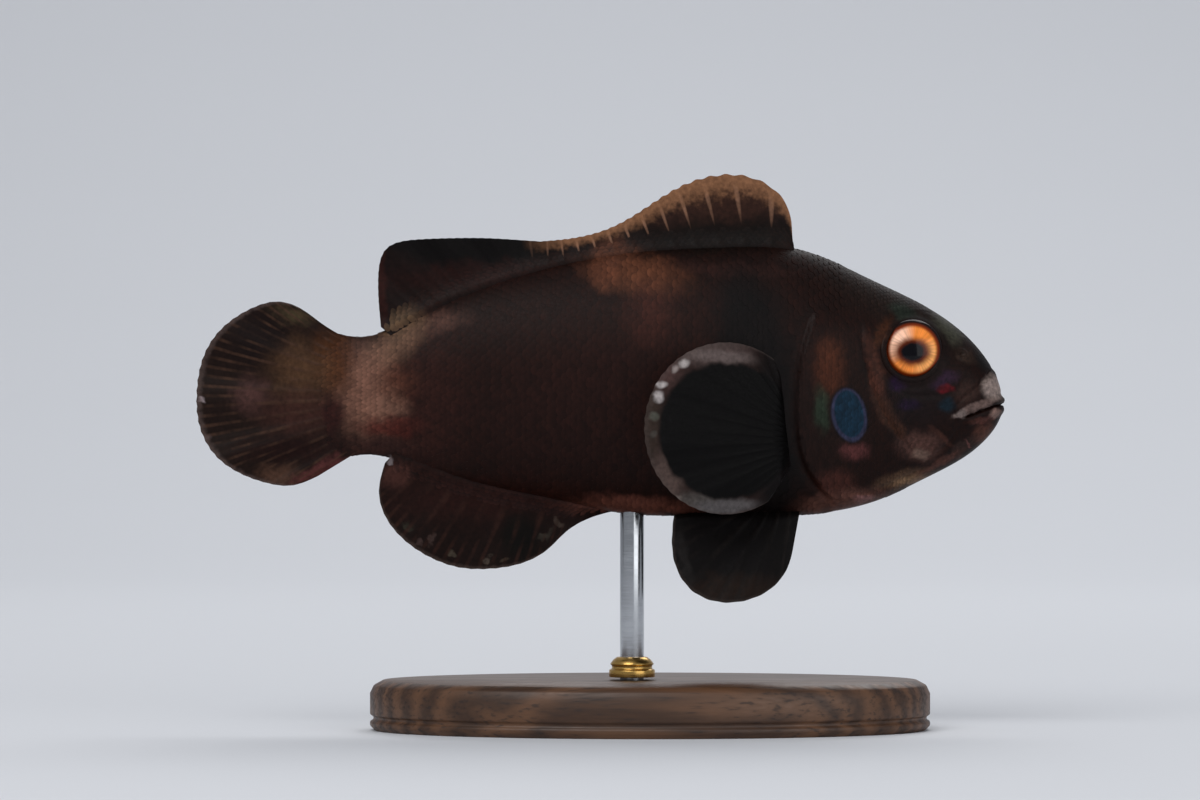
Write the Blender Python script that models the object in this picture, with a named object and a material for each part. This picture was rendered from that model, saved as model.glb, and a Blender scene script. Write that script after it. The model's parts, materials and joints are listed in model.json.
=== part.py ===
"""All-dark clownfish, a still life-size display model on a plain stand.

Metres, +Z up. The head points to +X and the fish's right side to -Y. The origin is on
the table, under the middle of the fish's length. Body shapes are read from a few named
stations, behind the snout and above or below the body's axis, through smooth curves.
"""

import math

import bmesh
import bpy
import numpy as np
from mathutils import Euler, Matrix, Vector

MM = 0.001

# Driving dimensions
TOTAL_LENGTH = 80.8 * MM  # snout to the tail fin's rear edge
STANDARD_LENGTH = 66.2 * MM  # snout to the root of the tail fin
AXIS_HEIGHT = 33.0 * MM  # the body's axis above the table
SNOUT_X = TOTAL_LENGTH / 2
GAP = 0.3 * MM  # thin cut between neighbouring pieces

# Body: behind the snout, back above the axis, belly above the axis, half width (mm)
BODY_STATIONS = (
    (0.0, -0.5, -0.5, 0.0),
    (1.6, 4.1, -3.9, 2.5),
    (4.0, 6.8, -5.9, 3.6),
    (8.8, 10.0, -8.4, 4.7),
    (14.0, 12.5, -10.6, 5.5),
    (20.8, 15.2, -11.6, 6.1),
    (29.0, 15.5, -11.6, 6.3),
    (38.0, 14.9, -11.4, 5.8),
    (46.0, 13.4, -9.9, 4.7),
    (54.0, 10.9, -8.2, 3.3),
    (60.5, 7.8, -6.1, 2.0),
    (63.8, 6.4, -5.5, 1.4),
    (66.2, 6.3, -5.7, 0.9),
)
WIDEST_SHARE = 0.56  # height of the widest line, as a share of the depth above the belly
RIDGE_POWER = 1.22  # over 1 narrows the back towards its fins
BELLY_POWER = 0.92  # under 1 rounds the belly out
TRUNK_END = 57.0 * MM  # trunk meets tail stalk, behind the snout
HEAD_SPAN = 28.0 * MM  # the head's pieces are cut from the body's front, this long
LIP_RING = 0.03 * MM  # first ring, behind the snout

# Side-view outlines: x and height above the axis, in mm
GILL_OPENING = (
    (23.0, 18.0), (21.6, 10.0), (19.9, 4.0), (19.5, -1.5), (20.4, -6.5), (23.4, -10.2), (28.0, -13.5),
)
GILL_COVER_FRONT = (
    (28.2, -9.2), (29.6, -6.4), (28.9, -2.6), (27.3, 1.6), (27.0, 5.6), (25.2, 7.8), (21.0, 8.4),
)
UPPER_JAW = ((42.0, -0.2), (36.0, -1.9), (35.5, -0.9), (36.7, 0.7), (38.4, 2.9), (42.0, 3.3))
LOWER_JAW = ((42.0, -0.5), (36.0, -2.2), (34.6, -3.6), (33.4, -6.0), (32.8, -10.0), (42.0, -10.0))
GILL_FLARE = 0.3 * MM  # the covers' rear edges stand this proud of the trunk
GILL_COVER_DEPTH = 3.4 * MM  # a cover's inner face, from the mid plane

# Eye: a flattened ball
EYE_BACK = 9.4 * MM
EYE_UP = 4.9 * MM
EYE_OUT = 3.1 * MM
EYE_RADIUS = 3.2 * MM
EYE_HALF_DEPTH = 1.7 * MM
EYE_TURN = (math.radians(4), math.radians(4))  # up, forward

# Fins, in mm: roots along the back or belly from front to rear, and margins in the same order as
# x and height above the axis
FIN_EDGE = 0.5 * MM  # thickness at the margin
FIN_ROOT = 1.0 * MM  # thickness at the root
RAY_RIDGE = 0.12 * MM  # how far a ray stands out on both faces together
THINNING = 1.6  # over 1, a fin is down to its margin's thickness before the margin
ROOT_DEPTH = 0.9 * MM  # a fin starts this far inside the body, and is cut back to it
SPINY_ROOT = (19.6, -5.75)
SPINY_MARGIN = (
    (19.2, 15.4), (18.6, 19.7), (16.2, 21.9), (12.4, 22.6),
    (8.0, 21.4), (4.0, 18.9), (0.4, 17.0), (-5.7, 15.9),
)
SOFT_ROOT = (-6.15, -20.9)
SOFT_MARGIN = ((-6.1, 15.9), (-11.6, 16.2), (-17.6, 16.1), (-21.4, 15.1), (-22.2, 11.5), (-21.9, 7.3))
ANAL_ROOT = (0.0, -20.4)
ANAL_MARGIN = (
    (0.4, -11.4), (-4.0, -13.6), (-7.6, -16.2), (-11.6, -16.9),
    (-16.4, -15.8), (-20.8, -12.7), (-22.1, -9.5), (-21.5, -6.3),
)
TAIL_MARGIN = (
    (-25.2, 6.7), (-28.4, 8.2), (-31.4, 9.7), (-35.6, 8.7), (-39.2, 5.5), (-40.4, 0.3),
    (-39.2, -4.9), (-35.6, -8.0), (-31.4, -8.8), (-28.4, -7.9), (-25.2, -6.2),
)
TAIL_ROOT = (5.6, -5.0)
PELVIC_MARGIN = ((18.3, -17.4), (16.1, -19.5), (12.0, -20.2), (8.6, -18.6), (7.3, -15.6), (7.2, -12.3))
PELVIC_ROOT = ((20.0, -10.6), (14.0, -10.6))
PECTORAL_CENTRE = (12.4, -2.8)
PECTORAL_RADII = (8.1, 8.5)
PECTORAL_SWEEP = (math.radians(52), math.radians(302))  # first and last ray's tips round that centre
PECTORAL_ROOT = ((18.9, -1.0), (18.9, -6.6))
PECTORAL_ROOT_OUT = 5.3 * MM  # root from the mid plane, just inside the body
PECTORAL_STEP = 0.6 * MM  # clears the body's side within the first millimetre
PECTORAL_CUP = 10.0  # bend towards the body, per metre of distance squared from the middle ray
PELVIC_ROOT_OUT = 1.5 * MM
SPINES = 10
SOFT_RAYS = 15
ANAL_RAYS = 13
TAIL_RAYS = 15
PECTORAL_RAYS = 16
PELVIC_RAYS = 6
PECTORAL_FLARE = math.tan(math.radians(24))  # how steeply it leaves the body's side
PELVIC_FLARE = math.tan(math.radians(14))

# Stand
ROD_X = 3.2 * MM
ROD_RADIUS = 1.2 * MM
ROD_SOCKET = 3.2 * MM  # how far the rod goes up into the belly
BASE_X = 5.0 * MM
BASE_LENGTH = 56.0 * MM
BASE_WIDTH = 34.0 * MM
BASE_HEIGHT = 5.0 * MM
BASE_ROUNDING = 1.2 * MM
FERRULE_RADIUS = 2.3 * MM
FERRULE_HEIGHT = 2.0 * MM

# Mesh fineness
BODY_SIDES = 32
BODY_RINGS = 32
FIN_ROWS = 4
EYE_SIDES = 18
STAND_SIDES = 36
WIDE = 12 * MM  # cutters reach past the body's side


# ---------------------------------------------------------------- curves and body shape


def cubic(keys, values, at):
    """Natural cubic spline through (keys, values), read at the keys `at`; values may be rows."""
    keys = np.asarray(keys, float)
    values = np.asarray(values, float).reshape(len(keys), -1)
    steps = np.diff(keys)
    slopes = np.diff(values, axis=0) / steps[:, None]
    system = np.eye(len(keys))
    known = np.zeros_like(values)
    for i in range(1, len(keys) - 1):
        system[i, i - 1 : i + 2] = steps[i - 1], 2 * (steps[i - 1] + steps[i]), steps[i]
        known[i] = 6 * (slopes[i] - slopes[i - 1])
    bends = np.linalg.solve(system, known)
    at = np.asarray(at, float)
    i = np.clip(np.searchsorted(keys, at) - 1, 0, len(keys) - 2)
    h, a, b = steps[i][..., None], (keys[i + 1] - at)[..., None], (at - keys[i])[..., None]
    near = (bends[i] * a**3 + bends[i + 1] * b**3) / (6 * h)
    return near + (values[i] / h - bends[i] * h / 6) * a + (values[i + 1] / h - bends[i + 1] * h / 6) * b


def curve_through(points, count, lean=1.0):
    """`count` points, in metres, along a smooth curve through a few 2-D points in mm. They are
    evenly spaced at a lean of 1; over 1 they crowd towards the end."""
    points = np.asarray(points, float) * MM
    along = np.concatenate([[0], np.cumsum(np.linalg.norm(np.diff(points, axis=0), axis=1))])
    fine = cubic(along, points, np.linspace(0, along[-1], 400))
    reach = np.concatenate([[0], np.cumsum(np.linalg.norm(np.diff(fine, axis=0), axis=1))])
    wanted = reach[-1] * np.linspace(0, 1, count) ** (1 / lean)
    return np.stack([np.interp(wanted, reach, fine[:, k]) for k in (0, 1)], axis=1)


STATION_KEYS = np.sqrt([row[0] for row in BODY_STATIONS])
STATION_SIZES = np.array([row[1:] for row in BODY_STATIONS]) * MM


def body_size(behind):
    """Back height, belly height and half width of the body this far behind the snout."""
    key = np.sqrt(np.clip(np.asarray(behind, float), 0, STANDARD_LENGTH) / MM)
    return np.moveaxis(cubic(STATION_KEYS, STATION_SIZES, key), -1, 0)


def body_point(behind, angle, grow=0.0):
    """A point of the body's surface. The angle runs from -90 degrees, the belly, over 0, the
    right side's widest line, and 90, the back, down the left side to 270."""
    behind = np.asarray(behind, float)
    back, belly, half = body_size(behind)
    widest = belly + WIDEST_SHARE * (back - belly)
    rise = np.sin(angle)
    out = np.cos(angle)
    up = np.where(rise > 0, back - widest, widest - belly) + grow
    power = np.where(rise > 0, RIDGE_POWER, BELLY_POWER)
    side = -np.sign(out) * np.abs(out) ** power * (np.maximum(half, 0) + grow)
    return np.stack([SNOUT_X - behind, side, widest + rise * up + AXIS_HEIGHT], axis=-1)


def ring_angles(count):
    return np.radians(-90 + 360 * np.arange(count) / count)


# ---------------------------------------------------------------- mesh helpers


def link(name, mesh, material=None):
    made = bpy.data.objects.new(name, mesh)
    bpy.context.scene.collection.objects.link(made)
    if material:
        made.data.materials.append(material)
    return made


def finish_mesh(name, bm, smooth_under=35):
    bmesh.ops.recalc_face_normals(bm, faces=bm.faces)
    mesh = bpy.data.meshes.new(name)
    bm.to_mesh(mesh)
    bm.free()
    mesh.shade_smooth()
    mesh.set_sharp_from_angle(angle=math.radians(smooth_under))
    return mesh


def extruded(bm, faces, kind):
    """What an extrusion of these faces makes, of one kind. Loose faces stay as the far side."""
    edges = dict.fromkeys(edge for face in faces for edge in face.edges)
    grown = bmesh.ops.extrude_face_region(bm, geom=[*faces, *edges])["geom"]
    return [item for item in grown if isinstance(item, kind)]


def loft(name, rings):
    """A closed shape: the first ring's face, extruded from ring to ring."""
    bm = bmesh.new()
    face = bm.faces.new([bm.verts.new(p) for p in rings[0]])
    for ring in rings[1:]:
        (face,) = extruded(bm, [face], bmesh.types.BMFace)
        for vert, place in zip(face.verts, ring):
            vert.co = place
    return finish_mesh(name, bm)


def prism(name, outline, near, far):
    """A cutter: a closed outline of (x, z) points, extruded along Y from near to far."""
    bm = bmesh.new()
    face = bm.faces.new([bm.verts.new((x, near, z)) for x, z in outline])
    moved = extruded(bm, [face], bmesh.types.BMVert)
    bmesh.ops.translate(bm, verts=moved, vec=(0, far - near, 0))
    return link_cutter(name, finish_mesh(name, bm))


def link_cutter(name, mesh):
    made = link(name, mesh)
    made.hide_render = True
    made.display_type = "WIRE"
    return made


def boolean(target, cutter, operation="DIFFERENCE"):
    made = target.modifiers.new(cutter.name, "BOOLEAN")
    made.operation = operation
    made.object = cutter
    made.solver = "EXACT"


def offset(outline, by):
    """A closed outline moved out by a distance, whichever way round it runs."""
    ahead = np.roll(outline, -1, axis=0)
    area = np.sum(outline[:, 0] * ahead[:, 1] - ahead[:, 0] * outline[:, 1]) / 2
    edge = ahead - outline
    normal = np.stack([edge[:, 1], -edge[:, 0]], axis=1) * np.sign(area)
    normal /= np.linalg.norm(normal, axis=1, keepdims=True)
    corner = normal + np.roll(normal, 1, axis=0)
    corner /= np.maximum(np.sum(corner * normal, axis=1, keepdims=True), 0.3)
    return outline + corner * by


def material(name, colour, roughness, metallic=0.0):
    made = bpy.data.materials.new(name)
    made.use_nodes = True
    shader = made.node_tree.nodes["Principled BSDF"]
    shader.inputs["Base Color"].default_value = (*colour, 1.0)
    shader.inputs["Roughness"].default_value = roughness
    shader.inputs["Metallic"].default_value = metallic
    return made


# ---------------------------------------------------------------- head, trunk and stalk


def body_loft(name, start, end, count, grow=lambda behind: 0.0, power=1.0):
    """The body between two distances behind the snout, square across at both ends."""
    angles = ring_angles(BODY_SIDES)
    stops = start + (end - start) * np.linspace(0, 1, count) ** power
    return loft(name, [body_point(np.full(BODY_SIDES, s), angles, grow(s)) for s in stops])


def side_outline(corners):
    return np.asarray(corners, float) * MM + (0, AXIS_HEIGHT)


def head_outline():
    """Everything in front of the gill openings, in the side view."""
    edge = curve_through(GILL_OPENING, 16) + (0, AXIS_HEIGHT)
    ahead = SNOUT_X + 5 * MM
    return np.concatenate([edge, [(ahead, edge[-1, 1]), (ahead, edge[0, 1])]])


def gill_cover_outline():
    """The cover's front edge, closed by the gill opening behind it."""
    front = curve_through(GILL_COVER_FRONT, 14) + (0, AXIS_HEIGHT)
    edge = curve_through(GILL_OPENING, 24) + (0, AXIS_HEIGHT)
    rear = edge[(edge[:, 1] < front[-1, 1] - GAP) & (edge[:, 1] > front[0, 1] + GAP)]
    return np.concatenate([front, rear])


def gill_flare(behind):
    """How far a gill cover stands out, growing from its front edge to its rear edge."""
    start, end = SNOUT_X - np.array([GILL_COVER_FRONT[1][0], GILL_OPENING[3][0]]) * MM
    return GILL_FLARE * min(max((behind - start) / (end - start), 0), 1) ** 2


def make_head(skin):
    """The skull and cheeks, both jaws and the two gill covers, cut from one shape."""
    mesh = body_loft("head", LIP_RING, HEAD_SPAN, 19, power=1.7)
    bounds = prism("keep_head", head_outline(), -WIDE, WIDE)
    upper = side_outline(UPPER_JAW)
    lower = side_outline(LOWER_JAW)
    cover = gill_cover_outline()

    head = link("head", mesh, skin)
    boolean(head, bounds, "INTERSECT")
    boolean(head, prism("cut_upper_jaw", offset(upper, GAP), -WIDE, WIDE))
    boolean(head, prism("cut_lower_jaw", offset(lower, GAP), -WIDE, WIDE))
    for side, name in ((-1, "right"), (1, "left")):
        inner = side * (GILL_COVER_DEPTH - GAP)
        boolean(head, prism(f"cut_cover_{name}", offset(cover, GAP), inner, side * WIDE))
        boolean(head, eye_cutter(side, name))

    for name, outline in (("upper_jaw", upper), ("lower_jaw", lower)):
        jaw = link(name, mesh.copy(), skin)
        boolean(jaw, prism(f"keep_{name}", outline, -WIDE, WIDE), "INTERSECT")
    flared = body_loft("gill_cover", 8 * MM, HEAD_SPAN, 11, gill_flare)
    for side, name in ((-1, "right"), (1, "left")):
        piece = link(f"gill_cover_{name}", flared.copy(), skin)
        keep = prism(f"keep_cover_{name}", cover, side * GILL_COVER_DEPTH, side * WIDE)
        boolean(piece, keep, "INTERSECT")


def eye_matrix(side):
    tilt = Euler((side * EYE_TURN[0], 0, -side * EYE_TURN[1])).to_matrix().to_4x4()
    place = Vector((SNOUT_X - EYE_BACK, side * EYE_OUT, AXIS_HEIGHT + EYE_UP))
    return Matrix.Translation(place) @ tilt


def eye_ball(name, side, grow=0.0, sides=EYE_SIDES):
    """A ball with its poles along Y, flattened along that axis."""
    bm = bmesh.new()
    bmesh.ops.create_uvsphere(bm, u_segments=sides, v_segments=sides // 2, radius=1)
    bmesh.ops.rotate(bm, verts=bm.verts, matrix=Matrix.Rotation(math.radians(90), 3, "X"))
    size = (EYE_RADIUS + grow, EYE_HALF_DEPTH + grow, EYE_RADIUS + grow)
    bmesh.ops.scale(bm, verts=bm.verts, vec=size)
    bmesh.ops.transform(bm, verts=bm.verts, matrix=eye_matrix(side))
    return finish_mesh(name, bm, 60)


def eye_cutter(side, name):
    return link_cutter(f"cut_socket_{name}", eye_ball(f"cut_socket_{name}", side, GAP))


def make_eyes(iris):
    for side, name in ((-1, "right"), (1, "left")):
        link(f"eye_{name}", eye_ball(f"eye_{name}", side), iris)


def make_trunk(skin):
    """The trunk, from the gill openings back, with a hole for the rod, and the tail stalk."""
    trunk = link("trunk", body_loft("trunk", 10 * MM, TRUNK_END, 18), skin)
    boolean(trunk, prism("cut_head", offset(head_outline(), GAP), -WIDE, WIDE))
    bm = bmesh.new()
    add_cylinder(bm, ROD_RADIUS + GAP, 0, belly_height(ROD_X) + ROD_SOCKET + GAP, 16)
    boolean(trunk, link_cutter("cut_rod", finish_mesh("cut_rod", bm)))
    link("tail_stalk", body_loft("tail_stalk", TRUNK_END + GAP, STANDARD_LENGTH, 6), skin)


def belly_height(x):
    return AXIS_HEIGHT + body_size(SNOUT_X - x)[1]


# ---------------------------------------------------------------- fins


def fin_plate(name, root, margin, rays, place=None):
    """A thin closed plate between a root line and a margin line of (x, z) points, with a ridge
    on each ray. `place` gives its y at each (x, z); a median fin lies in the mid plane."""
    columns, rows = 2 * rays + 1, FIN_ROWS
    share = np.linspace(0, 1, rows)[None, :, None]
    flat = root[:, None, :] * (1 - share) + margin[:, None, :] * share
    across = place(flat) if place else np.zeros((columns, rows))
    share = share[..., 0]
    on_ray = np.arange(columns)[:, None] % 2
    thick = np.maximum(FIN_ROOT - (FIN_ROOT - FIN_EDGE) * THINNING * share, FIN_EDGE)
    half = (thick + RAY_RIDGE * on_ray * (1 - share)) / 2
    bm = bmesh.new()
    bmesh.ops.create_grid(bm, x_segments=columns - 1, y_segments=rows - 1, size=0.5)
    right = list(bm.verts)
    left = extruded(bm, bm.faces, bmesh.types.BMVert)
    for way, verts in ((-1, right), (1, left)):
        for vert in verts:
            i = round((vert.co.x + 0.5) * (columns - 1))
            j = round((vert.co.y + 0.5) * (rows - 1))
            x, z = flat[i, j]
            vert.co = (x, across[i, j] + way * half[i, j], z)
    return finish_mesh(name, bm, 50)


def body_line(front, rear, count, top=True):
    """Points along the back or belly between two places along the body, sunk into it."""
    x = np.linspace(front, rear, count) * MM
    back, belly, _ = body_size(SNOUT_X - x)
    height = back - ROOT_DEPTH if top else belly + ROOT_DEPTH
    return np.stack([x, height + AXIS_HEIGHT], axis=1)


def margin_line(points, count, lean=1.0):
    return curve_through(points, count, lean) + (0, AXIS_HEIGHT)


def grown_body():
    """The body without its front, larger by the gap: what the fins are cut back to."""
    angles = ring_angles(BODY_SIDES)
    stops = np.linspace(14 * MM, STANDARD_LENGTH, BODY_RINGS)
    rings = [body_point(np.full(BODY_SIDES, behind), angles, GAP) for behind in stops]
    return loft("body_for_fins", [*rings, rings[-1] - (GAP, 0, 0)])


def make_median_fins(membrane, body):
    """Both dorsal fins, the anal fin and the tail fin."""
    spines, soft, anal, tail = (2 * rays + 1 for rays in (SPINES, SOFT_RAYS, ANAL_RAYS, TAIL_RAYS))
    tail_x = np.full(tail, SNOUT_X - STANDARD_LENGTH + ROOT_DEPTH)
    tail_z = np.linspace(TAIL_ROOT[0], TAIL_ROOT[1], tail) * MM + AXIS_HEIGHT
    plates = (
        ("spiny_dorsal_fin", SPINES, body_line(*SPINY_ROOT, spines), margin_line(SPINY_MARGIN, spines, 1.5)),
        ("soft_dorsal_fin", SOFT_RAYS, body_line(*SOFT_ROOT, soft), margin_line(SOFT_MARGIN, soft, 1.1)),
        ("anal_fin", ANAL_RAYS, body_line(*ANAL_ROOT, anal, False), margin_line(ANAL_MARGIN, anal, 1.1)),
        ("tail_fin", TAIL_RAYS, np.stack([tail_x, tail_z], axis=1), margin_line(TAIL_MARGIN, tail)),
    )
    for name, rays, root, margin in plates:
        boolean(link(name, fin_plate(name, root, margin, rays), membrane), body)


def make_pectoral_fins(membrane, body):
    """A round fan on each side, leaving the body at a slant and cupped towards it."""
    count = 2 * PECTORAL_RAYS + 1
    sweep = np.linspace(*PECTORAL_SWEEP, count)
    round_off = np.stack([np.cos(sweep), np.sin(sweep)], axis=1) * PECTORAL_RADII
    margin = (round_off + PECTORAL_CENTRE) * MM + (0, AXIS_HEIGHT)
    root = np.linspace(*PECTORAL_ROOT, count) * MM + (0, AXIS_HEIGHT)
    root_x = PECTORAL_ROOT[0][0] * MM
    middle = AXIS_HEIGHT + PECTORAL_CENTRE[1] * MM
    for side, name in ((-1, "right"), (1, "left")):

        def across(flat, side=side):
            back = root_x - flat[..., 0]
            out = PECTORAL_ROOT_OUT + PECTORAL_FLARE * back + PECTORAL_STEP * np.minimum(back / MM, 1)
            return side * (out - PECTORAL_CUP * (flat[..., 1] - middle) ** 2)

        plate = fin_plate(f"pectoral_fin_{name}", root, margin, PECTORAL_RAYS, across)
        boolean(link(plate.name, plate, membrane), body)


def make_pelvic_fins(membrane, body):
    """A rounded paddle under the breast on each side, spread a little outwards."""
    count = 2 * PELVIC_RAYS + 1
    margin = margin_line(PELVIC_MARGIN, count)
    root = np.linspace(*PELVIC_ROOT, count) * MM + (0, AXIS_HEIGHT)
    top = AXIS_HEIGHT + PELVIC_ROOT[0][1] * MM
    for side, name in ((-1, "right"), (1, "left")):

        def across(flat, side=side):
            return side * (PELVIC_ROOT_OUT + PELVIC_FLARE * np.maximum(top - flat[..., 1], 0))

        plate = fin_plate(f"pelvic_fin_{name}", root, margin, PELVIC_RAYS, across)
        boolean(link(plate.name, plate, membrane), body)


# ---------------------------------------------------------------- stand


def add_cylinder(bm, radius, low, high, sides):
    place = Matrix.Translation((ROD_X, 0, (low + high) / 2))
    bmesh.ops.create_cone(
        bm, cap_ends=True, segments=sides, radius1=radius, radius2=radius, depth=high - low, matrix=place
    )


def make_stand(wood, steel, brass):
    """An oval base with a rounded top edge, a ferrule on it, and a rod up into the belly."""
    bm = bmesh.new()
    bmesh.ops.create_cone(
        bm, cap_ends=True, segments=STAND_SIDES, radius1=0.5, radius2=0.5, depth=BASE_HEIGHT
    )
    bmesh.ops.scale(bm, vec=(BASE_LENGTH, BASE_WIDTH, 1), verts=bm.verts)
    bmesh.ops.translate(bm, vec=(BASE_X, 0, BASE_HEIGHT / 2), verts=bm.verts)
    top = [e for e in bm.edges if all(v.co.z > BASE_HEIGHT * 0.9 for v in e.verts)]
    bmesh.ops.bevel(bm, geom=top, offset=BASE_ROUNDING, segments=3, profile=0.5, affect="EDGES")
    base = link("stand_base", finish_mesh("stand_base", bm), wood)
    bm = bmesh.new()
    add_cylinder(bm, ROD_RADIUS + GAP, BASE_HEIGHT / 2 - GAP, BASE_HEIGHT * 2, 16)
    boolean(base, link_cutter("cut_base", finish_mesh("cut_base", bm)))

    bm = bmesh.new()
    add_cylinder(bm, FERRULE_RADIUS, BASE_HEIGHT + GAP, BASE_HEIGHT + GAP + FERRULE_HEIGHT, 24)
    rim = [e for e in bm.edges if all(v.co.z > BASE_HEIGHT + FERRULE_HEIGHT for v in e.verts)]
    bmesh.ops.bevel(bm, geom=rim, offset=0.5 * MM, segments=2, profile=0.5, affect="EDGES")
    ferrule = link("stand_ferrule", finish_mesh("stand_ferrule", bm), brass)
    boolean(ferrule, bpy.data.objects["cut_base"])

    bm = bmesh.new()
    add_cylinder(bm, ROD_RADIUS, BASE_HEIGHT / 2, belly_height(ROD_X) + ROD_SOCKET, 16)
    link("stand_rod", finish_mesh("stand_rod", bm), steel)


def main():
    for old in list(bpy.data.objects):
        bpy.data.objects.remove(old)
    skin = material("dark_skin", (0.018, 0.008, 0.006), 0.5)
    membrane = material("fin_membrane", (0.012, 0.008, 0.007), 0.45)
    iris = material("orange_iris", (0.72, 0.28, 0.05), 0.15)
    wood = material("oiled_walnut", (0.10, 0.05, 0.028), 0.5)
    steel = material("polished_steel", (0.62, 0.63, 0.65), 0.25, 1.0)
    brass = material("brass", (0.70, 0.52, 0.22), 0.3, 1.0)
    make_head(skin)
    make_eyes(iris)
    make_trunk(skin)
    body = link_cutter("body_for_fins", grown_body())
    make_median_fins(membrane, body)
    make_pectoral_fins(membrane, body)
    make_pelvic_fins(membrane, body)
    make_stand(wood, steel, brass)


main()
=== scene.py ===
"""A dark clownfish on a display stand: its skin, scales, eyes and stand, built on the frame.

Lengths inside the shape functions are in millimetres: x towards the snout, y towards the
fish's left side and z above the body's axis. `place` turns them into the frame's metres.
"""

import json
import math

import bmesh
import bpy
import numpy as np
from bpy.props import FloatProperty, FloatVectorProperty, PointerProperty
from mathutils import Matrix, Vector

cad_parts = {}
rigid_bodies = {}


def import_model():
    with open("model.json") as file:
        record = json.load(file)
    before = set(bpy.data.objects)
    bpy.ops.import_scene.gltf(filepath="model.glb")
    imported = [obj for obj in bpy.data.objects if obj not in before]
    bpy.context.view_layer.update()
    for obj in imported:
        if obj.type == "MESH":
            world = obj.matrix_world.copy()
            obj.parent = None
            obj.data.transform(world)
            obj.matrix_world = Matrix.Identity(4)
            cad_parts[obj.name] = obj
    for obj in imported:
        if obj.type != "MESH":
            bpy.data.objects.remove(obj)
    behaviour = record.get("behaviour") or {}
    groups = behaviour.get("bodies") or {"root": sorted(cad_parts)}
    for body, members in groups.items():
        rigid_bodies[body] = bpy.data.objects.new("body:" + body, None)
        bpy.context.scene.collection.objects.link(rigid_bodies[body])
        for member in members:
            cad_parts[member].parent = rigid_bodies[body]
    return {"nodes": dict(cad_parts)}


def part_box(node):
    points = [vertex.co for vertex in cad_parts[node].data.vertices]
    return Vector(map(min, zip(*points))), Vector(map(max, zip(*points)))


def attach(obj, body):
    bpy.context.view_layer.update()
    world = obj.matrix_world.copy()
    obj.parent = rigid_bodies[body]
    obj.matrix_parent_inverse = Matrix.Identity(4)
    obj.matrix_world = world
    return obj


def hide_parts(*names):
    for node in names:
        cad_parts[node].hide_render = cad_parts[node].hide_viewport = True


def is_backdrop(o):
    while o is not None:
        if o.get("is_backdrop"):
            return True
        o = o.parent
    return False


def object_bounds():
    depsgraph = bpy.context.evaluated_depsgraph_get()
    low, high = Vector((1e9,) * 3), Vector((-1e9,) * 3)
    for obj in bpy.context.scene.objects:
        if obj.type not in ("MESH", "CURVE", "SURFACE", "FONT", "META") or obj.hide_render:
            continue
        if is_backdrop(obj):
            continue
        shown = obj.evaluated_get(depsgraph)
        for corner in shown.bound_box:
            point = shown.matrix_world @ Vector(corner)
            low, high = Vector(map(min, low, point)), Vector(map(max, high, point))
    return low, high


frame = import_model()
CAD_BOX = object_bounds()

bl_info = {
    "name": "Dark clownfish on a stand",
    "version": (1, 0, 0),
    "blender": (4, 5, 0),
    "location": "3D View > Sidebar > Clownfish",
    "description": "Builds the skin, scales, eyes and stand of a display model of a dark clownfish",
    "category": "Add Mesh",
}

MM = 0.001
LIFE = "root"  # the one body that every piece rides on

# ------------------------------------------------------------------ shape of the body

# Behind the snout, back above the axis, belly above the axis, half width
BODY_STATIONS = (
    (0.0, -0.5, -0.5, 0.0),
    (1.6, 4.1, -3.9, 2.5),
    (4.0, 6.8, -5.9, 3.6),
    (8.8, 10.0, -8.4, 4.7),
    (14.0, 12.5, -10.6, 5.5),
    (20.8, 15.2, -11.6, 6.1),
    (29.0, 15.5, -11.6, 6.3),
    (38.0, 14.9, -11.4, 5.8),
    (46.0, 13.4, -9.9, 4.7),
    (54.0, 10.9, -8.2, 3.3),
    (60.5, 7.8, -6.1, 2.0),
    (63.8, 6.4, -5.5, 1.3),
    (65.8, 6.6, -5.8, 0.9),
    (68.0, 6.6, -5.8, 0.45),  # from here it thins out inside the tail fin
    (70.4, 3.4, -2.8, 0.08),
)
BODY_LENGTH = BODY_STATIONS[-1][0]
TAIL_START = 66.2  # where the tail fin's rays leave the body
WIDEST_SHARE = 0.56  # where the body is widest, as a share of its height from the belly up
RIDGE_POWER = 1.22  # over 1, the back narrows to a ridge
BELLY_POWER = 0.92  # under 1, the belly stays full
SNOUT = -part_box("tail_fin")[0].x / MM  # the origin is under the middle of the length


def cubic(keys, values, at):
    """Natural cubic spline through (keys, values), read at the keys `at`; values may be rows."""
    keys = np.asarray(keys, float)
    values = np.asarray(values, float).reshape(len(keys), -1)
    steps = np.diff(keys)
    slopes = np.diff(values, axis=0) / steps[:, None]
    system = np.eye(len(keys))
    known = np.zeros_like(values)
    for i in range(1, len(keys) - 1):
        system[i, i - 1 : i + 2] = steps[i - 1], 2 * (steps[i - 1] + steps[i]), steps[i]
        known[i] = 6 * (slopes[i] - slopes[i - 1])
    bends = np.linalg.solve(system, known)
    at = np.asarray(at, float)
    i = np.clip(np.searchsorted(keys, at) - 1, 0, len(keys) - 2)
    h, a, b = steps[i][..., None], (keys[i + 1] - at)[..., None], (at - keys[i])[..., None]
    near = (bends[i] * a**3 + bends[i + 1] * b**3) / (6 * h)
    return near + (values[i] / h - bends[i] * h / 6) * a + (values[i + 1] / h - bends[i + 1] * h / 6) * b


CURVE_STEPS = 400  # fine enough to measure along any of the curves


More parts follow.
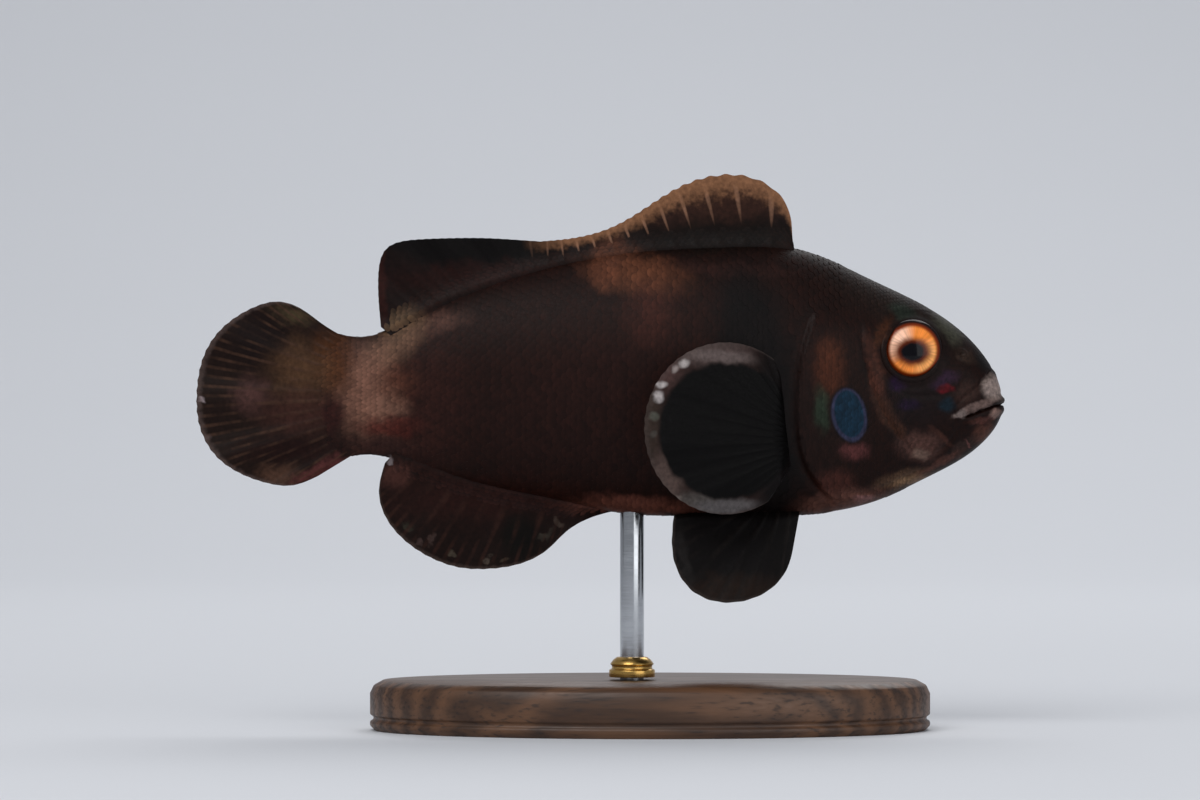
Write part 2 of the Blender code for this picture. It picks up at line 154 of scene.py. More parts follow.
def curve_through(points, count, lean=1.0):
    """`count` points along a smooth curve through a few 2-D points. They are evenly spaced at a
    lean of 1; over 1 they crowd towards the end."""
    points = np.asarray(points, float)
    along = np.concatenate([[0], np.cumsum(np.linalg.norm(np.diff(points, axis=0), axis=1))])
    fine = cubic(along, points, np.linspace(0, along[-1], CURVE_STEPS))
    reach = np.concatenate([[0], np.cumsum(np.linalg.norm(np.diff(fine, axis=0), axis=1))])
    wanted = reach[-1] * np.linspace(0, 1, count) ** (1 / lean)
    return np.stack([np.interp(wanted, reach, fine[:, k]) for k in (0, 1)], axis=1)


STATION_KEYS = np.sqrt([row[0] for row in BODY_STATIONS])
STATION_SIZES = np.array([row[1:] for row in BODY_STATIONS])


def body_size(behind):
    """Back height, belly height and half width of the body this far behind the snout."""
    key = np.sqrt(np.clip(np.asarray(behind, float), 0, BODY_LENGTH))
    return np.moveaxis(cubic(STATION_KEYS, STATION_SIZES, key), -1, 0)


# the top of the trunk's box is the highest point of the back
TRUNK = np.linspace(10, 57, 200)
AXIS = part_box("trunk")[1].z / MM - body_size(TRUNK)[0].max()


def place(points):
    """Body millimetres to the frame's metres."""
    return (np.asarray(points, float) + (0, 0, AXIS)) * MM


def body_point(behind, angle):
    """A point of the body's plain surface. The angle runs in radians from the belly, -90 degrees,
    up the right side, widest at 0, to the back at 90 and down the left side to 270."""
    back, belly, half = body_size(behind)
    widest = belly + WIDEST_SHARE * (back - belly)
    rise = np.sin(angle)
    out = np.cos(angle)
    up = np.where(rise > 0, back - widest, widest - belly)
    power = np.where(rise > 0, RIDGE_POWER, BELLY_POWER)
    side = -np.sign(out) * np.abs(out) ** power * np.maximum(half, 0)
    return np.stack([SNOUT - behind + 0 * rise, side, widest + rise * up], axis=-1)


def unit(vectors):
    """The vectors at a length of 1."""
    return vectors / np.maximum(np.linalg.norm(vectors, axis=-1, keepdims=True), 1e-9)


def smooth(value):
    """0 below 0, 1 above 1, and a smooth step between."""
    t = np.clip(value, 0, 1)
    return t * t * (3 - 2 * t)


def bell(value, width):
    """1 at 0, falling away evenly on both sides."""
    return np.exp(-((value / width) ** 2))


def from_curve(curve, x, z):
    """Signed distance from a side-view curve, and the share along it of the nearest point. It is
    positive on the left of someone who walks along the curve with +Y at their back."""
    start, step = curve[:-1], np.diff(curve, axis=0)
    to_x = x[..., None] - start[:, 0]
    to_z = z[..., None] - start[:, 1]
    share = np.clip((to_x * step[:, 0] + to_z * step[:, 1]) / np.sum(step**2, axis=1), 0, 1)
    off = np.hypot(to_x - share * step[:, 0], to_z - share * step[:, 1])
    nearest = np.argmin(off, axis=-1)[..., None]
    side = np.sign(step[:, 0] * to_z - step[:, 1] * to_x)

    def pick(values):
        return np.take_along_axis(values, nearest, -1)[..., 0]

    return pick(off) * pick(side), (nearest[..., 0] + pick(share)) / len(start)


# ------------------------------------------------------------------ relief of the head

GILL_OPENING = curve_through(
    ((23.0, 18.0), (21.6, 10.0), (19.9, 4.0), (19.5, -1.5), (20.4, -6.5), (23.4, -10.2), (28.0, -13.5)), 50
)
PREOPERCLE = curve_through(
    ((26.2, 8.4), (26.3, 5.4), (27.1, 1.8), (29.0, -2.2), (31.2, -4.7), (33.8, -6.0)), 40
)
INTEROPERCLE = curve_through(((32.6, -6.7), (29.5, -8.2), (25.8, -9.3), (22.6, -9.4)), 20)
SUBORBITAL = curve_through(((37.0, 3.2), (35.4, 1.0), (32.6, 0.4), (29.6, 0.9), (27.9, 3.0)), 30)
JAW_FOLD = curve_through(((36.0, -2.5), (35.0, -4.0), (33.2, -5.8)), 14)
CREASES = ((INTEROPERCLE, 0.10, 0.22), (SUBORBITAL, 0.07, 0.25), (JAW_FOLD, 0.12, 0.22))  # depth, width
MOUTH = curve_through(((41.4, -0.3), (39.6, -0.6), (37.8, -1.2), (36.0, -1.9)), 20)
MAXILLA = curve_through(((39.6, 3.6), (38.3, 1.9), (36.9, 0.6), (35.5, -0.8), (35.2, -2.4)), 24)
NOSTRIL = (36.1, 4.6)
EYE_BOX = [np.array(corner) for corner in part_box("eye_right")]
EYE_CENTRE = (EYE_BOX[0] + EYE_BOX[1]) / 2 / MM - (0, 0, AXIS)
EYE_SHOWN = 2.85  # radius of the round opening that the eye fills
SOCKET_DEPTH = 1.6


def eye_distance(x, z):
    """How far from the middle of the eye, seen from the side."""
    return np.hypot(x - EYE_CENTRE[0], z - EYE_CENTRE[2])


def faded(share, first, last):
    """1 along a curve, and down to 0 over its first and its last share."""
    return smooth(share / first) * smooth((1 - share) / last)


def plate_edge(off, height, rise, fall):
    """The edge of a plate: it rises at a curve and flattens out behind it."""
    return height * smooth(off / rise + 0.4) * np.exp(-np.maximum(off, 0) / fall)


def relief(x, z):
    """How far the head's folds and plates stand out of the body's plain surface."""
    # the gill cover's rim, with the gill opening as a groove along it, between nape and throat
    gill, _ = from_curve(GILL_OPENING, x, z)
    open_part = smooth((9.4 - z) / 2.4) * smooth((z + 11.1) / 2.2)
    cover = plate_edge(gill, height=0.30, rise=0.35, fall=3.2)
    high = open_part * (cover - 0.16 * bell(gill + 0.35, 0.30))

    # the cheek's rim and the groove behind it
    plate, share = from_curve(PREOPERCLE, x, z)
    ends = faded(share, 0.12, 0.15)
    high += ends * plate_edge(plate, height=0.13, rise=0.3, fall=1.6)
    high -= ends * 0.09 * bell(plate + 0.3, 0.25)
    for curve, depth, width in CREASES:
        off, share = from_curve(curve, x, z)
        ends = faded(share, 0.2, 0.2)
        high -= ends * depth * bell(off, width)
        high += 0.35 * depth * ends * bell(off - 2 * width, 1.4 * width)  # soft swelling beside it

    # the head swells round the eye, then drops into the socket
    eye = eye_distance(x, z)
    high -= 0.07 * bell(eye - EYE_SHOWN - 0.85, 0.3)
    high += 0.10 * bell(eye, 5.0) - SOCKET_DEPTH * smooth((EYE_SHOWN + 0.04 - eye) / 0.34)

    # upper lip, lower lip, the crease under it and the mouth's slit
    mouth, share = from_curve(MOUTH, x, z)
    front = smooth((1 - share) / 0.12)
    lips = 0.20 * bell(mouth - 0.55, 0.42) + 0.24 * bell(mouth + 0.45, 0.36)
    lips = lips - 0.08 * bell(mouth + 1.1, 0.25)
    high += front * (lips - 0.40 * bell(mouth, 0.09))
    fold, share = from_curve(MAXILLA, x, z)
    high += faded(share, 0.15, 0.08) * (0.13 * bell(fold - 0.45, 0.4) - 0.16 * bell(fold + 0.1, 0.14))
    # a raised ring round the nostril's pit
    nostril = np.hypot(x - NOSTRIL[0], z - NOSTRIL[1])
    high += 0.09 * bell(nostril - 0.42, 0.14) - 0.34 * bell(nostril, 0.19)
    return high


RINGS = 190  # round the body, from the snout to the root of the tail fin
SIDES = 256  # faces in each ring
TURN_STEPS = 720  # fine enough to measure round a ring
RING_SHARES = (0, 0.14, 0.74, 1)  # share of the rings used up ...
RING_KEYS = (0, 1.25, 4.7, math.sqrt(BODY_LENGTH))  # ... by this root of the distance behind the snout


def skin_grid(coat):
    """The skin's points, with its relief, sunk by the coat's depth: one row for each ring, and
    even steps round it from the belly, up the right side, over the back and down the left."""
    behind = np.interp(np.linspace(0, 1, RINGS + 1), RING_SHARES, RING_KEYS) ** 2
    turn = np.radians(np.linspace(-90, 270, TURN_STEPS + 1))
    ring = body_point(behind[:, None], turn[None, :])
    reach = np.cumsum(np.linalg.norm(np.diff(ring, axis=1), axis=2), axis=1)
    reach = np.concatenate([np.zeros((len(ring), 1)), reach], axis=1)
    wanted = np.linspace(0, 1, SIDES + 1)
    angle = np.stack([np.interp(wanted * max(r[-1], 1e-9), r, turn) for r in reach])
    angle[0] = turn[0] + wanted * 2 * math.pi  # the snout's own ring is a point
    behind = behind[:, None] + 0 * angle
    base = body_point(behind, angle)
    # short steps along and across the surface give its outward direction
    step = np.minimum(0.05, behind * 0.3 + 1e-4)
    along = body_point(behind + step, angle) - body_point(np.maximum(behind - step, 0), angle)
    across = body_point(behind, angle + 0.01) - body_point(behind, angle - 0.01)
    out = unit(np.cross(across, along))
    out[0] = (1, 0, 0)
    return base + out * (relief(base[..., 0], base[..., 2]) - coat)[..., None]


# ------------------------------------------------------------------ sheets that carry the scales


def lie_of(grid, wraps):
    """Outward directions of a grid of points."""
    along = np.gradient(grid, axis=0)
    if wraps:
        wrapped = np.concatenate([grid[:, -2:-1], grid, grid[:, 1:2]], axis=1)
        across = wrapped[:, 2:] - wrapped[:, :-2]
    else:
        across = np.gradient(grid, axis=1)
    return unit(np.cross(across, along))


class Sheet:
    """A grid of points read as a smooth sheet, at any row and column between its own."""

    def __init__(self, points, wraps=False):
        self.points = points
        self.normals = lie_of(points, wraps)
        self.wraps = wraps
        self.rows = len(points) - 1
        self.columns = points.shape[1] - 1

    def at(self, row, column):
        """Points and outward directions."""
        row = np.clip(row, 0, self.rows)
        column = np.mod(column, self.columns) if self.wraps else np.clip(column, 0, self.columns)
        i = np.minimum(row.astype(int), self.rows - 1)
        j = np.minimum(column.astype(int), self.columns - 1)
        a, b = (row - i)[..., None], (column - j)[..., None]

        def mix(t):
            """Between the four nearest points of the grid."""
            return (t[i, j] * (1 - b) + t[i, j + 1] * b) * (1 - a) + (
                t[i + 1, j] * (1 - b) + t[i + 1, j + 1] * b
            ) * a

        return mix(self.points), unit(mix(self.normals))

    def steps(self, row, column):
        """Millimetres that one row and one column cover there."""
        reach = 0.5
        along = self.at(row + reach, column)[0] - self.at(row - reach, column)[0]
        across = self.at(row, column + reach)[0] - self.at(row, column - reach)[0]
        return tuple(np.maximum(np.linalg.norm(s, axis=-1) / (2 * reach), 1e-3) for s in (along, across))


# ------------------------------------------------------------------ fins

ROOT_DEPTH = 0.9  # a fin starts this far inside the body
ROOT_SUNK = 0.9  # a paired fin's root curves in by this ...
ROOT_CURVE = 1.3  # ... over this much of it
COLUMNS_PER_RAY = 8
COLUMNS_PER_SPINE = 12  # a spine or a pelvic ray is broader
FIN_EDGE = 0.11  # half a fin's thickness at its margin ...
FIN_TAPER = 0.27  # ... and what is added at its root
RAY_HEIGHT = 0.055  # how far a ray stands out of its membrane
SCALLOP = 0.006  # how far the margin falls back between two rays, as a share of their length

# each root runs from front to rear, or from top to bottom
SPINY = (19.6, -5.95)
SPINY_MARGIN = (
    (19.2, 15.4), (18.6, 19.7), (16.2, 21.9), (12.4, 22.6),
    (8.0, 21.4), (4.0, 18.9), (0.4, 17.0), (-5.95, 15.85),
)
SPINY_END = 12.5  # ray number where the spiny part ends
SOFT = (-5.95, -20.9)
SOFT_MARGIN = ((-5.95, 15.85), (-11.6, 16.2), (-17.6, 16.1), (-21.4, 15.1), (-22.2, 11.5), (-21.9, 7.3))
ANAL = (1.6, -20.4)
ANAL_MARGIN = (
    (2.4, -10.9), (0.2, -11.4), (-1.7, -12.1), (-3.3, -13.1), (-5.3, -15.0), (-8.4, -16.5), (-11.2, -16.9),
    (-14.2, -16.75), (-17.0, -15.75), (-19.6, -14.0), (-21.4, -11.8), (-22.1, -9.3), (-21.5, -6.3),
)
TAIL = ((-23.6, 5.6), (-24.9, 3.4), (-25.2, 0.4), (-24.9, -2.6), (-23.6, -4.8))
TAIL_MARGIN = (
    (-28.7, 8.3), (-30.3, 9.35), (-32.2, 9.85), (-34.6, 9.3), (-37.9, 7.1), (-39.8, 4.1), (-40.36, 0.4),
    (-40.0, -2.9), (-38.6, -5.4), (-36.2, -7.25), (-33.4, -8.3), (-30.8, -8.55), (-28.2, -7.6),
)
PELVIC = ((20.0, -10.6), (14.0, -10.6))
PELVIC_MARGIN = (
    (19.3, -14.4), (18.75, -16.5), (17.2, -18.6), (14.6, -19.9), (11.9, -20.1),
    (9.3, -19.1), (7.7, -17.0), (7.2, -14.2), (7.4, -11.5),
)
PELVIC_OUT = 1.5  # how far from the middle of the body the fin's root is ...
PELVIC_FLARE = math.tan(math.radians(14))  # ... and how it leans out below that
PECTORAL = ((18.9, -1.0), (18.9, -6.6))
PECTORAL_CENTRE = (12.4, -2.8)  # its margin is most of an oval about this
PECTORAL_RADII = (8.1, 8.5)
PECTORAL_SWEEP = (math.radians(52), math.radians(302))
PECTORAL_OUT = 5.3
PECTORAL_FLARE = math.tan(math.radians(24))
PECTORAL_STEP = 0.6  # it stands off the flank by this much more within the first 1 mm
PECTORAL_CUP = 0.010  # its upper and lower parts curve back in towards the flank


class Fin:
    """A thin plate with rays: its root and margin, and how it swells, splits and waves."""

    def __init__(self, name, root, margin, rays, rows, material, **form):
        self.name = name
        self.root = root
        self.margin = margin
        self.ray = rays  # ray number at each column; a whole number is the middle of a ray
        self.columns = len(rays) - 1
        self.rows = rows
        self.material = material
        self.split = form.get("split", 0.35)  # share where a ray starts to branch
        self.spines = form.get("spines", 0 * rays)  # 1 where the rays are spines, which notch the margin
        self.wave = form.get("wave", 0.25)  # how far the margin sways to either side
        self.flare = form.get("flare", 0.45)  # how much the root thickens into the body
        self.bow = form.get("bow", 0.0)  # how much the upper rays sag before they spread
        self.across = form.get("across", lambda x, z: 0 * x)  # where it lies across the body

    def ridges(self, share):
        """0 between the rays and 1 on them, over columns and the share from root to margin."""
        off = np.abs(np.mod(self.ray + 0.5, 1) - 0.5)[:, None]
        part = 0.25 * smooth((share - self.split) / (1.05 - self.split))
        return bell(np.abs(off) - part, 0.15)

    def middle(self, share):
        """The middle of the plate: x, y and z over columns and shares."""
        scallop = SCALLOP * (1 + 3 * self.spines[:, None])
        ends = share**5 * scallop * (1 - self.ridges(share))
        reach = (share * (1 - ends))[..., None]
        flat = self.root[:, None] * (1 - reach) + self.margin[:, None] * reach
        x, z = flat[..., 0], flat[..., 1]
        z = z - self.bow * np.maximum(self.margin[:, 1:], 0) * share * (1 - share) * 2
        # two waves that don't repeat together
        ripple = np.sin(self.ray[:, None] * 1.9 + 0.7) + 0.6 * np.sin(self.ray[:, None] * 0.77 + 2.1)
        y = self.across(x, z) + self.wave * ripple * share**1.6
        return np.stack([x, y, z], axis=-1)

    def half(self, share):
        """Half the thickness over columns and shares."""
        length = np.linalg.norm(self.margin - self.root, axis=1)[:, None]
        clear = np.maximum(share * length - ROOT_DEPTH, 0)
        body = FIN_EDGE + FIN_TAPER * (1 - share) ** 1.5
        ridge = RAY_HEIGHT * (1 - 0.45 * share) * self.ridges(share)
        return body + ridge + self.flare * np.exp(-(clear / 0.8))

    def side(self, way):
        """One face of the plate, from root to margin, as a grid of rows and columns."""
        share = np.linspace(0, 1, self.rows + 1)[None, :]
        grid = self.middle(share)
        grid[..., 1] += way * self.half(share)
        return grid.transpose(1, 0, 2)

    def mesh(self, materials):
        """The whole plate as a closed mesh: a grid given thickness and laid on both faces. Its map
        "Rays" holds the ray number and the share from root to margin."""
        bm = bmesh.new()
        bmesh.ops.create_grid(bm, x_segments=self.columns, y_segments=self.rows, size=0.5)
        edges = dict.fromkeys(edge for face in bm.faces for edge in face.edges)
        bmesh.ops.extrude_face_region(bm, geom=[*bm.faces, *edges])
        mesh = plain_mesh(self.name, bm)
        co = read(mesh.vertices, "co", 3)
        column = np.rint((co[:, 0] + 0.5) * self.columns).astype(int)
        row = np.rint((co[:, 1] + 0.5) * self.rows).astype(int)
        far = np.arange(len(co)) >= len(co) // 2
        faces = np.stack([self.side(-1), self.side(1)])
        mesh.vertices.foreach_set("co", place(faces[far.astype(int), row, column]).ravel())
        corners = read(mesh.loops, "vertex_index", 1, int)[:, 0]
        uv = np.stack([self.ray[column], row / self.rows], axis=1)[corners]
        mesh.uv_layers.new(name="Rays").data.foreach_set("uv", uv.ravel())
        return dressed(mesh, materials, list(materials).index(self.material))


def body_line(front, rear, count, top=True):
    """Points along the back or belly between two places along the body, sunk into it."""
    x = np.linspace(front, rear, count)
    back, belly, _ = body_size(SNOUT - x)
    return np.stack([x, back - ROOT_DEPTH if top else belly + ROOT_DEPTH], axis=1)


def fan(rays, columns_per_ray=COLUMNS_PER_RAY):
    """The ray number at each column of a fin whose rays are evenly spread."""
    return np.arange(rays * columns_per_ray + 1) / columns_per_ray


def dorsal_fin():
    """One fin of 12 spines and 15 soft rays. The spines stand closer together towards the rear."""
    spines, soft = 12 * COLUMNS_PER_SPINE, 15 * COLUMNS_PER_RAY
    root = np.concatenate([body_line(*SPINY, spines + 1), body_line(*SOFT, soft + 1)[1:]])
    spiny, smoother = curve_through(SPINY_MARGIN, spines + 1, 1.5), curve_through(SOFT_MARGIN, soft + 1, 1.1)
    share = np.linspace(0, 1, spines + 1)
    spread = 0.1 + (SPINY_END - 3.5) * share + 3.4 * share**2
    rays = np.concatenate([spread, SPINY_END + np.arange(1, soft + 1) / COLUMNS_PER_RAY])
    return Fin(
        "dorsal", root, np.concatenate([spiny, smoother[1:]]), rays, rows=20, material="dorsal_fin",
        split=0.5, wave=0.16, spines=smooth((SPINY_END - rays) / 2),
    )


def pectoral_fin(name, side):
    """A broad fan behind the gill cover, standing off the flank."""

    def across(x, z):
        back = PECTORAL[0][0] - x
        out = PECTORAL_OUT + PECTORAL_FLARE * back + PECTORAL_STEP * np.minimum(back, 1)
        out = out - ROOT_SUNK * (1 - smooth(back / ROOT_CURVE))
        return side * (out - PECTORAL_CUP * (z - PECTORAL_CENTRE[1]) ** 2)

    rays = fan(16)
    sweep = np.linspace(*PECTORAL_SWEEP, len(rays))
    margin = np.stack([np.cos(sweep), np.sin(sweep)], axis=1) * PECTORAL_RADII + PECTORAL_CENTRE
    return Fin(
        f"pectoral_{name}", np.linspace(*PECTORAL, len(rays)), margin, rays, rows=22,
        material="pectoral_fin", across=across, split=0.4, flare=0.0, wave=0.12,
    )


def pelvic_fin(name, side):
    """A fin hung under the breast, one on each side."""

    def across(x, z):
        down = PELVIC[0][1] - z
        out = PELVIC_OUT + PELVIC_FLARE * np.maximum(down, 0)
        return side * (out - ROOT_SUNK * (1 - smooth(down / ROOT_CURVE)))

    rays = fan(6, COLUMNS_PER_SPINE)
    return Fin(
        f"pelvic_{name}", np.linspace(*PELVIC, len(rays)), curve_through(PELVIC_MARGIN, len(rays)), rays,
        rows=18, material="pelvic_fin", across=across, split=0.3, flare=0.2, wave=0.15,
    )


def all_fins():
    """Every fin of the fish."""
    anal, tail = fan(13), fan(17)
    made = [
        dorsal_fin(),
        Fin(
            "anal", body_line(*ANAL, len(anal), top=False), curve_through(ANAL_MARGIN, len(anal), 1.1), anal,
            rows=18, material="anal_fin", wave=0.18,
        ),
        Fin(
            "tail", curve_through(TAIL, len(tail)), curve_through(TAIL_MARGIN, len(tail)), tail,
            rows=26, material="tail_fin", split=0.3, wave=0.28, flare=0.0, bow=0.08,
        ),
    ]
    for side, name in ((-1, "right"), (1, "left")):
        made += [pectoral_fin(name, side), pelvic_fin(name, side)]
    return made


# ------------------------------------------------------------------ mesh helpers


def read(items, field, width, kind=float):
    """A field of every vertex, corner or face, as rows of numbers."""
    values = np.empty(len(items) * width, np.float32 if kind is float else np.int32)
    items.foreach_get(field, values)
    return values.reshape(-1, width).astype(kind)


def dressed(mesh, materials, index=0):
    """Gives a mesh its materials, all its faces the one at `index`, and smooth shading."""
    for made in materials.values():
        mesh.materials.append(made)
    mesh.polygons.foreach_set("material_index", np.full(len(mesh.polygons), index, np.int32))
    mesh.shade_smooth()
    mesh.update()
    return mesh


def linked(name, data):
    """A mesh, light or camera as an object of the scene."""
    made = bpy.data.objects.new(name, data)
    bpy.context.scene.collection.objects.link(made)
    return made


def finished(made, slot, *nodes):
    """Rides on the body and stands for its CAD nodes. The slot is not used."""
    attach(made, LIFE)
    if nodes:
        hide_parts(*nodes)


def plain_mesh(name, bm):
    """The working mesh as a mesh of the file."""
    mesh = bpy.data.meshes.new(name)
    bm.to_mesh(mesh)
    bm.free()
    return mesh


def from_bmesh(name, bm, sharp=40):
    """A smooth-shaded mesh, its normals outward and its edges sharp over this many degrees."""
    bmesh.ops.recalc_face_normals(bm, faces=bm.faces)
    mesh = plain_mesh(name, bm)
    mesh.shade_smooth()
    mesh.set_sharp_from_angle(angle=math.radians(sharp))
    return mesh


def spun(bm, verts, edges, axis, steps):
    """Spins an outline once round an axis through the origin, and closes the seam."""
    bmesh.ops.spin(
        bm, geom=[*verts, *edges], cent=(0, 0, 0), axis=axis, angle=2 * math.pi, steps=steps, use_merge=True
    )
    bmesh.ops.remove_doubles(bm, verts=bm.verts, dist=1e-7)


def applied(made):
    """The object with its modifiers turned into plain mesh."""
    graph = bpy.context.evaluated_depsgraph_get()
    old = made.data
    made.data = bpy.data.meshes.new_from_object(made.evaluated_get(graph), depsgraph=graph)
    made.modifiers.clear()
    bpy.data.meshes.remove(old)
    return made


# ------------------------------------------------------------------ skin

LID_RADIUS = 2.92  # middle of the eyelid ...
LID_WIDTH = 0.66  # ... which is this wide ...
LID_FLAT = 0.62  # ... and lower than it is wide, by this ...
LID_REACH = 3.25  # ... and lies as high as the head does this far out ...
LID_SUNK = 0.09  # ... less this
LID_STEPS = 96
LID_WAVES = 4  # of the head's shape under the lid, only its broadest waves are followed


def signed_volume(mesh):
    """Over 0 where the faces look outward."""
    mesh.calc_loop_triangles()
    corners = read(mesh.vertices, "co", 3)[read(mesh.loop_triangles, "vertices", 3, int)]
    return np.einsum("ij,ij->i", corners[:, 0], np.cross(corners[:, 1], corners[:, 2])).sum() / 6


def body_mesh(grid, materials):
    """A ball whose poles are the snout and the root of the tail fin, drawn out to the body."""
    bm = bmesh.new()
    bmesh.ops.create_uvsphere(bm, u_segments=SIDES, v_segments=RINGS + 1, radius=1)
    mesh = plain_mesh("body", bm)
    co = read(mesh.vertices, "co", 3)
    ring = np.rint(np.arctan2(np.hypot(co[:, 0], co[:, 1]), co[:, 2]) * (RINGS + 1) / math.pi).astype(int)
    step = np.rint(np.arctan2(co[:, 1], co[:, 0]) * SIDES / (2 * math.pi)).astype(int) % SIDES
    end = grid[-1, :-1].mean(axis=0)
    points = np.where((ring > RINGS)[:, None], end, grid[np.minimum(ring, RINGS), step])
    mesh.vertices.foreach_set("co", place(points).ravel())
    mesh.update()
    return dressed(mesh, materials)


def eyelid(grid, side, materials):
    """A soft rim of skin round an eye, laid on the head where the socket begins."""
    bm = bmesh.new()
    wide = LID_WIDTH * MM
    ring = Matrix.Translation((LID_RADIUS * MM, 0, 0)) @ Matrix.Diagonal((wide, wide, 1, 1))
    made = bmesh.ops.create_circle(bm, segments=12, radius=0.5, matrix=ring)["verts"]
    edges = list(dict.fromkeys(edge for vert in made for edge in vert.link_edges))
    bmesh.ops.transform(bm, verts=made, matrix=Matrix.Diagonal((1, LID_FLAT, 1, 1)))
    spun(bm, made, edges, (0, 1, 0), LID_STEPS)
    mesh = from_bmesh("eyelid", bm)
    co = read(mesh.vertices, "co", 3) / MM
    # how far out the head is round the eye, from the few nearest points of its skin
    turn = np.linspace(0, 2 * math.pi, LID_STEPS, endpoint=False)
    flank = grid[grid[..., 1] * side > 1]
    x, z = (EYE_CENTRE[0] + LID_REACH * np.cos(turn), EYE_CENTRE[2] + LID_REACH * np.sin(turn))
    off = np.hypot(flank[:, 0] - x[:, None], flank[:, 2] - z[:, None])
    out = np.abs(flank[:, 1])[off.argsort(axis=1)[:, :6]].mean(axis=1)
    waves = np.fft.rfft(out)
    waves[LID_WAVES:] = 0
    out = np.fft.irfft(waves, len(out)) - LID_SUNK
    around = np.mod(np.arctan2(co[:, 2], co[:, 0]), 2 * math.pi)
    co[:, 1] = side * (np.interp(around, turn, out, period=2 * math.pi) + co[:, 1])
    mesh.vertices.foreach_set("co", place(co + (EYE_CENTRE[0], 0, EYE_CENTRE[2])).ravel())
    mesh.update()
    return dressed(mesh, materials)


def build_skin(materials, coat):
    """One skin over the head, the eyelids, the trunk and every fin."""
    grid = skin_grid(coat)
    body = body_mesh(grid, materials)
    lids = [eyelid(grid, side, materials) for side in (-1, 1)]
    added = [fin.mesh(materials) for fin in all_fins()] + lids
    for mesh in (body, *lids):
        mesh.uv_layers.new(name="Rays")  # every part of one skin has the same map
    group = bpy.data.collections.new("fins_and_lids")
    for mesh in (body, *added):
        if signed_volume(mesh) < 0:
            mesh.flip_normals()
    skin = linked("skin", body)
    for mesh in added:
        group.objects.link(bpy.data.objects.new(mesh.name, mesh))
    join = skin.modifiers.new("fins_and_lids", "BOOLEAN")
    join.operation = "UNION"
    join.operand_type = "COLLECTION"
    join.collection = group
    join.solver = "MANIFOLD"
    bpy.context.scene.collection.children.link(group)
    applied(skin)
    for made in list(group.objects):
        bpy.data.objects.remove(made)
    bpy.data.collections.remove(group)
    skin.data.set_sharp_from_angle(angle=math.radians(50))
    return skin


# ------------------------------------------------------------------ scales

PATCH = 0.003  # width of one scale's patch on its map
SCALES_PER_PIECE = 2000
SCALE_SUNK = 0.03  # a scale's root lies this far inside the skin
SCALE_THICK = 0.030  # in its middle ...
SCALE_THIN = 0.012  # ... and less by this at its rim
SCALE_DROOP = 0.008  # its two sides fall by this
SCALE_LONG = 3.1  # length in steps to the next column, so that each covers the roots of the next
SCALE_WIDE = 1.24  # breadth in spacings round the body
SCATTER = 0.03  # how far scales stray from their even places
TRUNK_ROUND = 60  # scales in a column round the trunk ...
HEAD_ROUND = 92  # ... and round the head
NAPE_UP = 8.8  # above this, the nape's scales run on over the gill openings
NAPE_END = 24.6  # where the trunk's scales give way to the head's
OPENING_CLEAR = 0.34  # a strip along the gill openings stays bare


def scale_template():
    """A thin closed chip of 4 by 4 faces on each side, 2 long and 2 wide, top at 1."""
    bm = bmesh.new()
    bmesh.ops.create_grid(bm, x_segments=4, y_segments=4, size=1)
    edges = dict.fromkeys(edge for face in bm.faces for edge in face.edges)
    grown = bmesh.ops.extrude_face_region(bm, geom=[*bm.faces, *edges])["geom"]
    top = [item for item in grown if isinstance(item, bmesh.types.BMVert)]
    bmesh.ops.translate(bm, verts=top, vec=(0, 0, 1))
    return from_bmesh("scale", bm)  # its rim stays sharp, so that the chip reads as flat


class Scales:
    """Where scales sit on a sheet, and the size of each."""

    def __init__(self, sheet, row, column, length, width, lift, patch):
        self.sheet = sheet
        self.row = row
        self.column = column
        self.length = length
        self.width = width
        self.lift = lift
        self.patch = patch  # each scale's place on the map

    def take(self, keep):
        """Only the scales that a mask keeps."""
        parts = (self.row, self.column, self.length, self.width, self.lift, self.patch)
        return Scales(self.sheet, *(part[keep] for part in parts))

    def shaped(self, template, chance):
        """The template's points bent over the sheet at each scale, and their shares along it."""
        a, b, top = template[:, 0], template[:, 1], template[:, 2]
        # the square chip is drawn in to a rounded shape
        lie = a * np.sqrt(1 - 0.40 * b**2)
        wide = b * np.sqrt(1 - 0.36 * a**2)
        share = (lie + 1) / 2 + 0 * self.row[:, None]
        edge = np.maximum(np.abs(a), np.abs(b))
        along, across = self.sheet.steps(self.row, self.column)
        rows = self.row[:, None] + lie * (self.length / 2 / along)[:, None]
        columns = self.column[:, None] + wide * (self.width / 2 / across)[:, None]
        points, out = self.sheet.at(rows, columns)
        rise = -SCALE_SUNK + (self.lift * (0.85 + 0.3 * chance))[:, None] * share - SCALE_DROOP * wide**2
        rise = rise + top * (SCALE_THICK - SCALE_THIN * edge)
        return points + out * rise[..., None], share, wide + 0 * share


